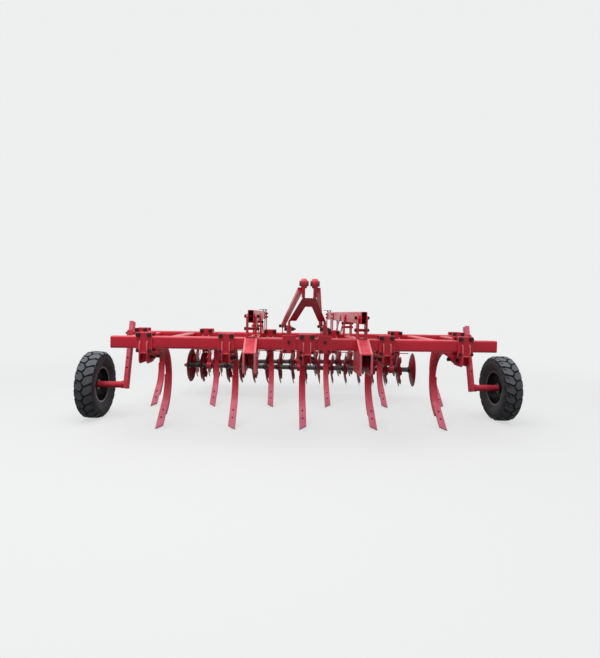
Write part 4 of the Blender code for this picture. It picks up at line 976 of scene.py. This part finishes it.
class SUBSOILER_OT_disc_gangs(bpy.types.Operator):
    """Two gangs of notched discs on spools, with plain discs at the front gang's ends"""
    bl_idname = "subsoiler.disc_gangs"
    bl_label = "Disc gangs"

    def execute(self, context):
        notches = settings()[1].notches
        for name, gang_y, skew in GANGS:
            plain = 1 if name == "front" else 0
            meshes = [along_shaft(disc_mesh(notches), "disc", DISC_COUNT - 2 * plain,
                                  FIRST_HUB + plain * DISC_PITCH, DISC_PITCH)]
            if plain:
                meshes.append(along_shaft(disc_mesh(0), "disc", 2, FIRST_HUB, -2 * FIRST_HUB))
            meshes.append(along_shaft(spool_mesh(DISC_PITCH - DISC_T - 0.001), "black", DISC_COUNT - 1,
                                      FIRST_HUB + 0.0005, DISC_PITCH))
            for side in (-1, 1):
                cone = [(side * (a - FIRST_HUB), r) for a, r in END_CONE]
                meshes.append(to_mesh(turned_x(cone, 32), "cap", "disc", 45.0))
            for mesh in meshes:
                mesh.transform(gang_frame(gang_y, skew) @ Matrix.Translation((0.0, 0.0, GANG_Z)))
                on_machine(mesh)
            node = "disc_gang_" + name
            place(join(node + "_finished", meshes), "gang_" + name, "disc_red_paint", (node,))
        return {"FINISHED"}


# Gauge wheels

TYRE_R, TYRE_HALF = 0.405, 0.1075
SEAT_R = 0.2033
LUG_SLANT = 0.42               # how far a lug runs round the tyre for each length across it
LUG_PHASE = 0.09               # of a pitch, as on the frame's tyre
LUG_X = 0.055                  # the middle of a lug, from the middle of the tread
LUG = ((0.020, -0.047), (0.056, -0.0495), (0.080, -0.047), (0.1035, -0.040), (0.1035, 0.040), (0.080, 0.047),
       (0.056, 0.0495), (0.020, 0.047), (-0.006, 0.0))
NUT_COUNT, NUT_RING, NUT_X = 6, 0.1025, 0.035


def crown(axial):
    """The radius of the lugs' tops at a distance from the middle of the tread."""
    a = abs(axial)
    return TYRE_R - 0.0045 * (a / 0.08) ** 2 - 0.030 * max(0.0, (a - 0.082) / 0.022) ** 2


def lug_mesh(side, depth):
    """One chunky lug of the tread, drawn at the top of the wheel."""
    def ring(grow, drop):
        points = []
        for a, t in LUG:
            across = LUG_X + (a - LUG_X) * grow
            r = crown(across) - drop
            angle = (t * grow + LUG_SLANT * (a - LUG_X)) / TYRE_R
            points.append((side * across, r * math.sin(angle), r * math.cos(angle)))
        return points

    bm = loft([ring(1.06, depth + 0.002), ring(1.0, 0.003), ring(0.94, 0.0)])
    # Painted shade of the grooves on the lug's walls; none on its top and ends.
    groove = bm.faces.layers.float.new("groove")
    for face in bm.faces:
        face[groove] = 0.0 if len(face.verts) > 4 or face.calc_area() > 0.002 else 0.8
    return to_mesh(bm, "lug", "rubber", 35.0)


def casing_mesh(depth):
    """The tyre under its lugs: bead, bulging sidewall, shoulder and the floor of the tread."""
    half, low = TYRE_HALF, TYRE_R - depth
    side = [(0.069, SEAT_R), (0.0688, SEAT_R + 0.012), (0.074, SEAT_R + 0.024), (0.086, SEAT_R + 0.045),
            (half - 0.008, SEAT_R + 0.070), (half - 0.001, SEAT_R + 0.100), (half, SEAT_R + 0.118),
            (half - 0.002, SEAT_R + 0.135), (half - 0.004, SEAT_R + 0.138), (half - 0.003, SEAT_R + 0.150),
            (half - 0.005, low - 0.030), (half - 0.010, low - 0.018), (half - 0.022, low - 0.006),
            (half - 0.045, low - 0.002)]
    profile = [(-a, r) for a, r in side] + [(0.0, low)] + side[::-1]
    bm = turned_x(profile, 96, joined=True)
    # Painted shade: full on the floor of the tread and the shoulders, 0.42 of it on the sidewalls and beads.
    groove = bm.faces.layers.float.new("groove")
    for face in bm.faces:
        centre = face.calc_center_median()
        radius = math.hypot(centre.y, centre.z)
        face[groove] = 1.0 if radius > low - 0.02 else 0.42
    return to_mesh(bm, "casing", "rubber", 50.0)


class SUBSOILER_OT_wheels(bpy.types.Operator):
    """Gauge wheels with treaded tyres, black rims, leaning posts and their sleeves"""
    bl_idname = "subsoiler.wheels"
    bl_label = "Gauge wheels"

    def execute(self, context):
        hardware = settings()[1]
        for name, side in SIDES:
            centre = middle("tyre_" + name)
            body = "wheel_" + name
            lift = Matrix.Translation(centre + Vector((0.0, ZERO_Y, 0.0)))
            parts = [casing_mesh(hardware.lug_depth)]
            pitch = 2 * math.pi / hardware.lugs
            for half, turn in ((-1, LUG_PHASE * pitch), (1, (LUG_PHASE + 0.5) * pitch)):
                parts.append(grown(lug_mesh(half, hardware.lug_depth), wheel_tree(), {
                    "Count": hardware.lugs, "Turn": turn, "Finish": material("rubber")}))
            for mesh in parts:
                mesh.transform(lift)
            place(join("tyre_" + name + "_finished", parts), body, "tyre_rubber", ("tyre_" + name,))
            finish_node("rim_" + name, "black", "rim_paint", body)
            out = RIGHT * side
            spots = []
            for k in range(NUT_COUNT):
                angle = 2 * math.pi * (k + 0.5) / NUT_COUNT
                spot = Vector((side * NUT_X, NUT_RING * math.cos(angle), NUT_RING * math.sin(angle)))
                spots.append((centre + spot, out, 0.027, 1.0))
            place(show("wheel_nuts_" + name, bolts(spots)), body)
            finish_node("wheel_post_" + name, "post", "worn_red_paint", "post_" + name)
            pin = Vector((centre.x - side * 0.3292, middle("post_sleeve_" + name).y + 0.008, 1.030))
            finish_node("post_sleeve_" + name, extra=[bolts([(pin, out, 0.034, 1.0)])])
        return {"FINISHED"}


# Stage

FLOOR_REACH = 30.0
SHADOW_NEAR, SHADOW_FAR = 4.5, 9.0       # the floor's shadow shows inside the first, and fades to the second
LAMP_AT, LAMP_WIDTH, LAMP_AIM = (-1.5, -2.5, 6.5), 6.0, Vector((0.0, 0.0, 0.8))
EYE_AT = (-0.242, ZERO_Y - 4.444, 1.3137)
EYE_TURNS = ((-0.0384, "Z"), (-0.0355, "X"), (-0.0162, "Y"), (math.pi / 2, "X"))


def seen_directly(tree):
    """1 for what the camera sees, also through gloss and glass."""
    rays = add_node(tree, "ShaderNodeLightPath").outputs
    share = rays["Is Camera Ray"]
    for other in ("Is Glossy Ray", "Is Transmission Ray"):
        share = add_node(tree, "ShaderNodeMath", {0: share, 1: rays[other]}, 0, operation="MAXIMUM")
    return share


def stage_surface(background, ground):
    """The pale floor: what the camera sees is the background's colour with a soft shadow near the machine."""
    surface = bpy.data.materials.new("matt paper floor")
    surface.use_nodes = True
    tree = surface.node_tree
    tree.nodes.clear()
    spot = add_node(tree, "ShaderNodeTexCoord", out="Object")
    distance = add_node(tree, "ShaderNodeVectorMath", {0: spot}, "Value", operation="LENGTH")
    share = add_node(tree, "ShaderNodeMapRange", {
        "From Min": SHADOW_NEAR, "From Max": SHADOW_FAR, "To Min": 0.7, "Value": distance}, "Result")
    matt = add_node(tree, "ShaderNodeBsdfDiffuse", {"Color": shade(background, 0.93)}, 0)
    glow = add_node(tree, "ShaderNodeEmission", {"Color": shade(background)}, 0)
    shown = add_node(tree, "ShaderNodeMixShader", {0: share, 1: matt, 2: glow}, 0)
    thrown = add_node(tree, "ShaderNodeBsdfDiffuse", {"Color": shade(ground)}, 0)
    both = add_node(tree, "ShaderNodeMixShader", {0: seen_directly(tree), 1: thrown, 2: shown}, 0)
    add_node(tree, "ShaderNodeOutputMaterial", {"Surface": both})
    return surface


def light_sky(scene, stage):
    """A soft sky, brighter overhead, behind which the camera sees the background's colour."""
    scene.world = bpy.data.worlds.new("overcast sky")
    scene.world.use_nodes = True
    tree = scene.world.node_tree
    tree.nodes.clear()
    way = add_node(tree, "ShaderNodeTexCoord", out="Generated")
    height = add_node(tree, "ShaderNodeSeparateXYZ", {"Vector": way}, "Z")
    light = add_node(tree, "ShaderNodeMapRange", {
        "To Min": stage.sky * 0.45, "To Max": stage.sky, "Value": height}, "Result")
    sky = add_node(tree, "ShaderNodeBackground", {"Color": (1.0, 1.0, 1.0, 1.0), "Strength": light}, 0)
    shown = add_node(tree, "ShaderNodeBackground", {"Color": shade(stage.background)}, 0)
    both = add_node(tree, "ShaderNodeMixShader", {0: seen_directly(tree), 1: sky, 2: shown}, 0)
    add_node(tree, "ShaderNodeOutputWorld", {"Surface": both})


class SUBSOILER_OT_stage(bpy.types.Operator):
    """Floor, backdrop, lamps and camera"""
    bl_idname = "subsoiler.stage"
    bl_label = "Stage"

    def execute(self, context):
        stage, scene = settings()[2], context.scene
        mesh = bpy.data.meshes.new("floor")
        corners = ((-1, -1), (1, -1), (1, 1), (-1, 1))
        mesh.from_pydata([(x * FLOOR_REACH, y * FLOOR_REACH, 0.0) for x, y in corners], [], [(0, 1, 2, 3)])
        mesh.materials.append(stage_surface(stage.background, stage.ground))
        show("floor", mesh)
        light_sky(scene, stage)
        lamp = bpy.data.lights.new("top_lamp", "AREA")
        lamp.shape, lamp.size, lamp.energy = "DISK", LAMP_WIDTH, stage.lamp
        item = show("top_lamp", lamp)
        item.location = LAMP_AT
        item.rotation_euler = (LAMP_AIM - item.location).to_track_quat("-Z", "Y").to_euler()
        camera = bpy.data.cameras.new("camera")
        camera.sensor_width, camera.lens, camera.clip_end = 36.0, stage.lens, 200.0
        # A little to the machine's left, turned right, tipped down and rolled as the photographer held it.
        view = Matrix.Translation(EYE_AT)
        for angle, axis in EYE_TURNS:
            view = view @ Matrix.Rotation(angle, 4, axis)
        scene.camera = show("camera", camera)
        scene.camera.matrix_world = view
        scene.view_settings.view_transform = "Standard"
        return {"FINISHED"}


# Add-on

PIECES = (SUBSOILER_OT_frame, SUBSOILER_OT_tines, SUBSOILER_OT_holders, SUBSOILER_OT_headstock,
          SUBSOILER_OT_disc_unit, SUBSOILER_OT_disc_gangs, SUBSOILER_OT_wheels, SUBSOILER_OT_stage)


class SUBSOILER_PT_panel(bpy.types.Panel):
    """Settings and pieces of the subsoiler"""
    bl_idname = "SUBSOILER_PT_panel"
    bl_label = "Subsoiler"
    bl_space_type = "VIEW_3D"
    bl_region_type = "UI"
    bl_category = "Subsoiler"

    def draw(self, context):
        layout = self.layout
        for group in settings():
            box = layout.box()
            for key in group.__annotations__:
                box.prop(group, key)
        for piece in PIECES:
            layout.operator(piece.bl_idname)


CLASSES = (SubsoilerPaint, SubsoilerHardware, SubsoilerStage) + PIECES + (SUBSOILER_PT_panel,)


def register():
    """Make the classes and the scene's settings known."""
    for item in CLASSES:
        bpy.utils.register_class(item)
    bpy.types.Scene.subsoiler_paint = PointerProperty(type=SubsoilerPaint)
    bpy.types.Scene.subsoiler_hardware = PointerProperty(type=SubsoilerHardware)
    bpy.types.Scene.subsoiler_stage = PointerProperty(type=SubsoilerStage)


def unregister():
    """Take them away again."""
    del bpy.types.Scene.subsoiler_stage
    del bpy.types.Scene.subsoiler_hardware
    del bpy.types.Scene.subsoiler_paint
    for item in reversed(CLASSES):
        bpy.utils.unregister_class(item)


def main():
    """Make every piece and the stage."""
    register()
    for piece in PIECES:
        space, name = piece.bl_idname.split(".")
        getattr(getattr(bpy.ops, space), name)()


if __name__ == "__main__":
    main()
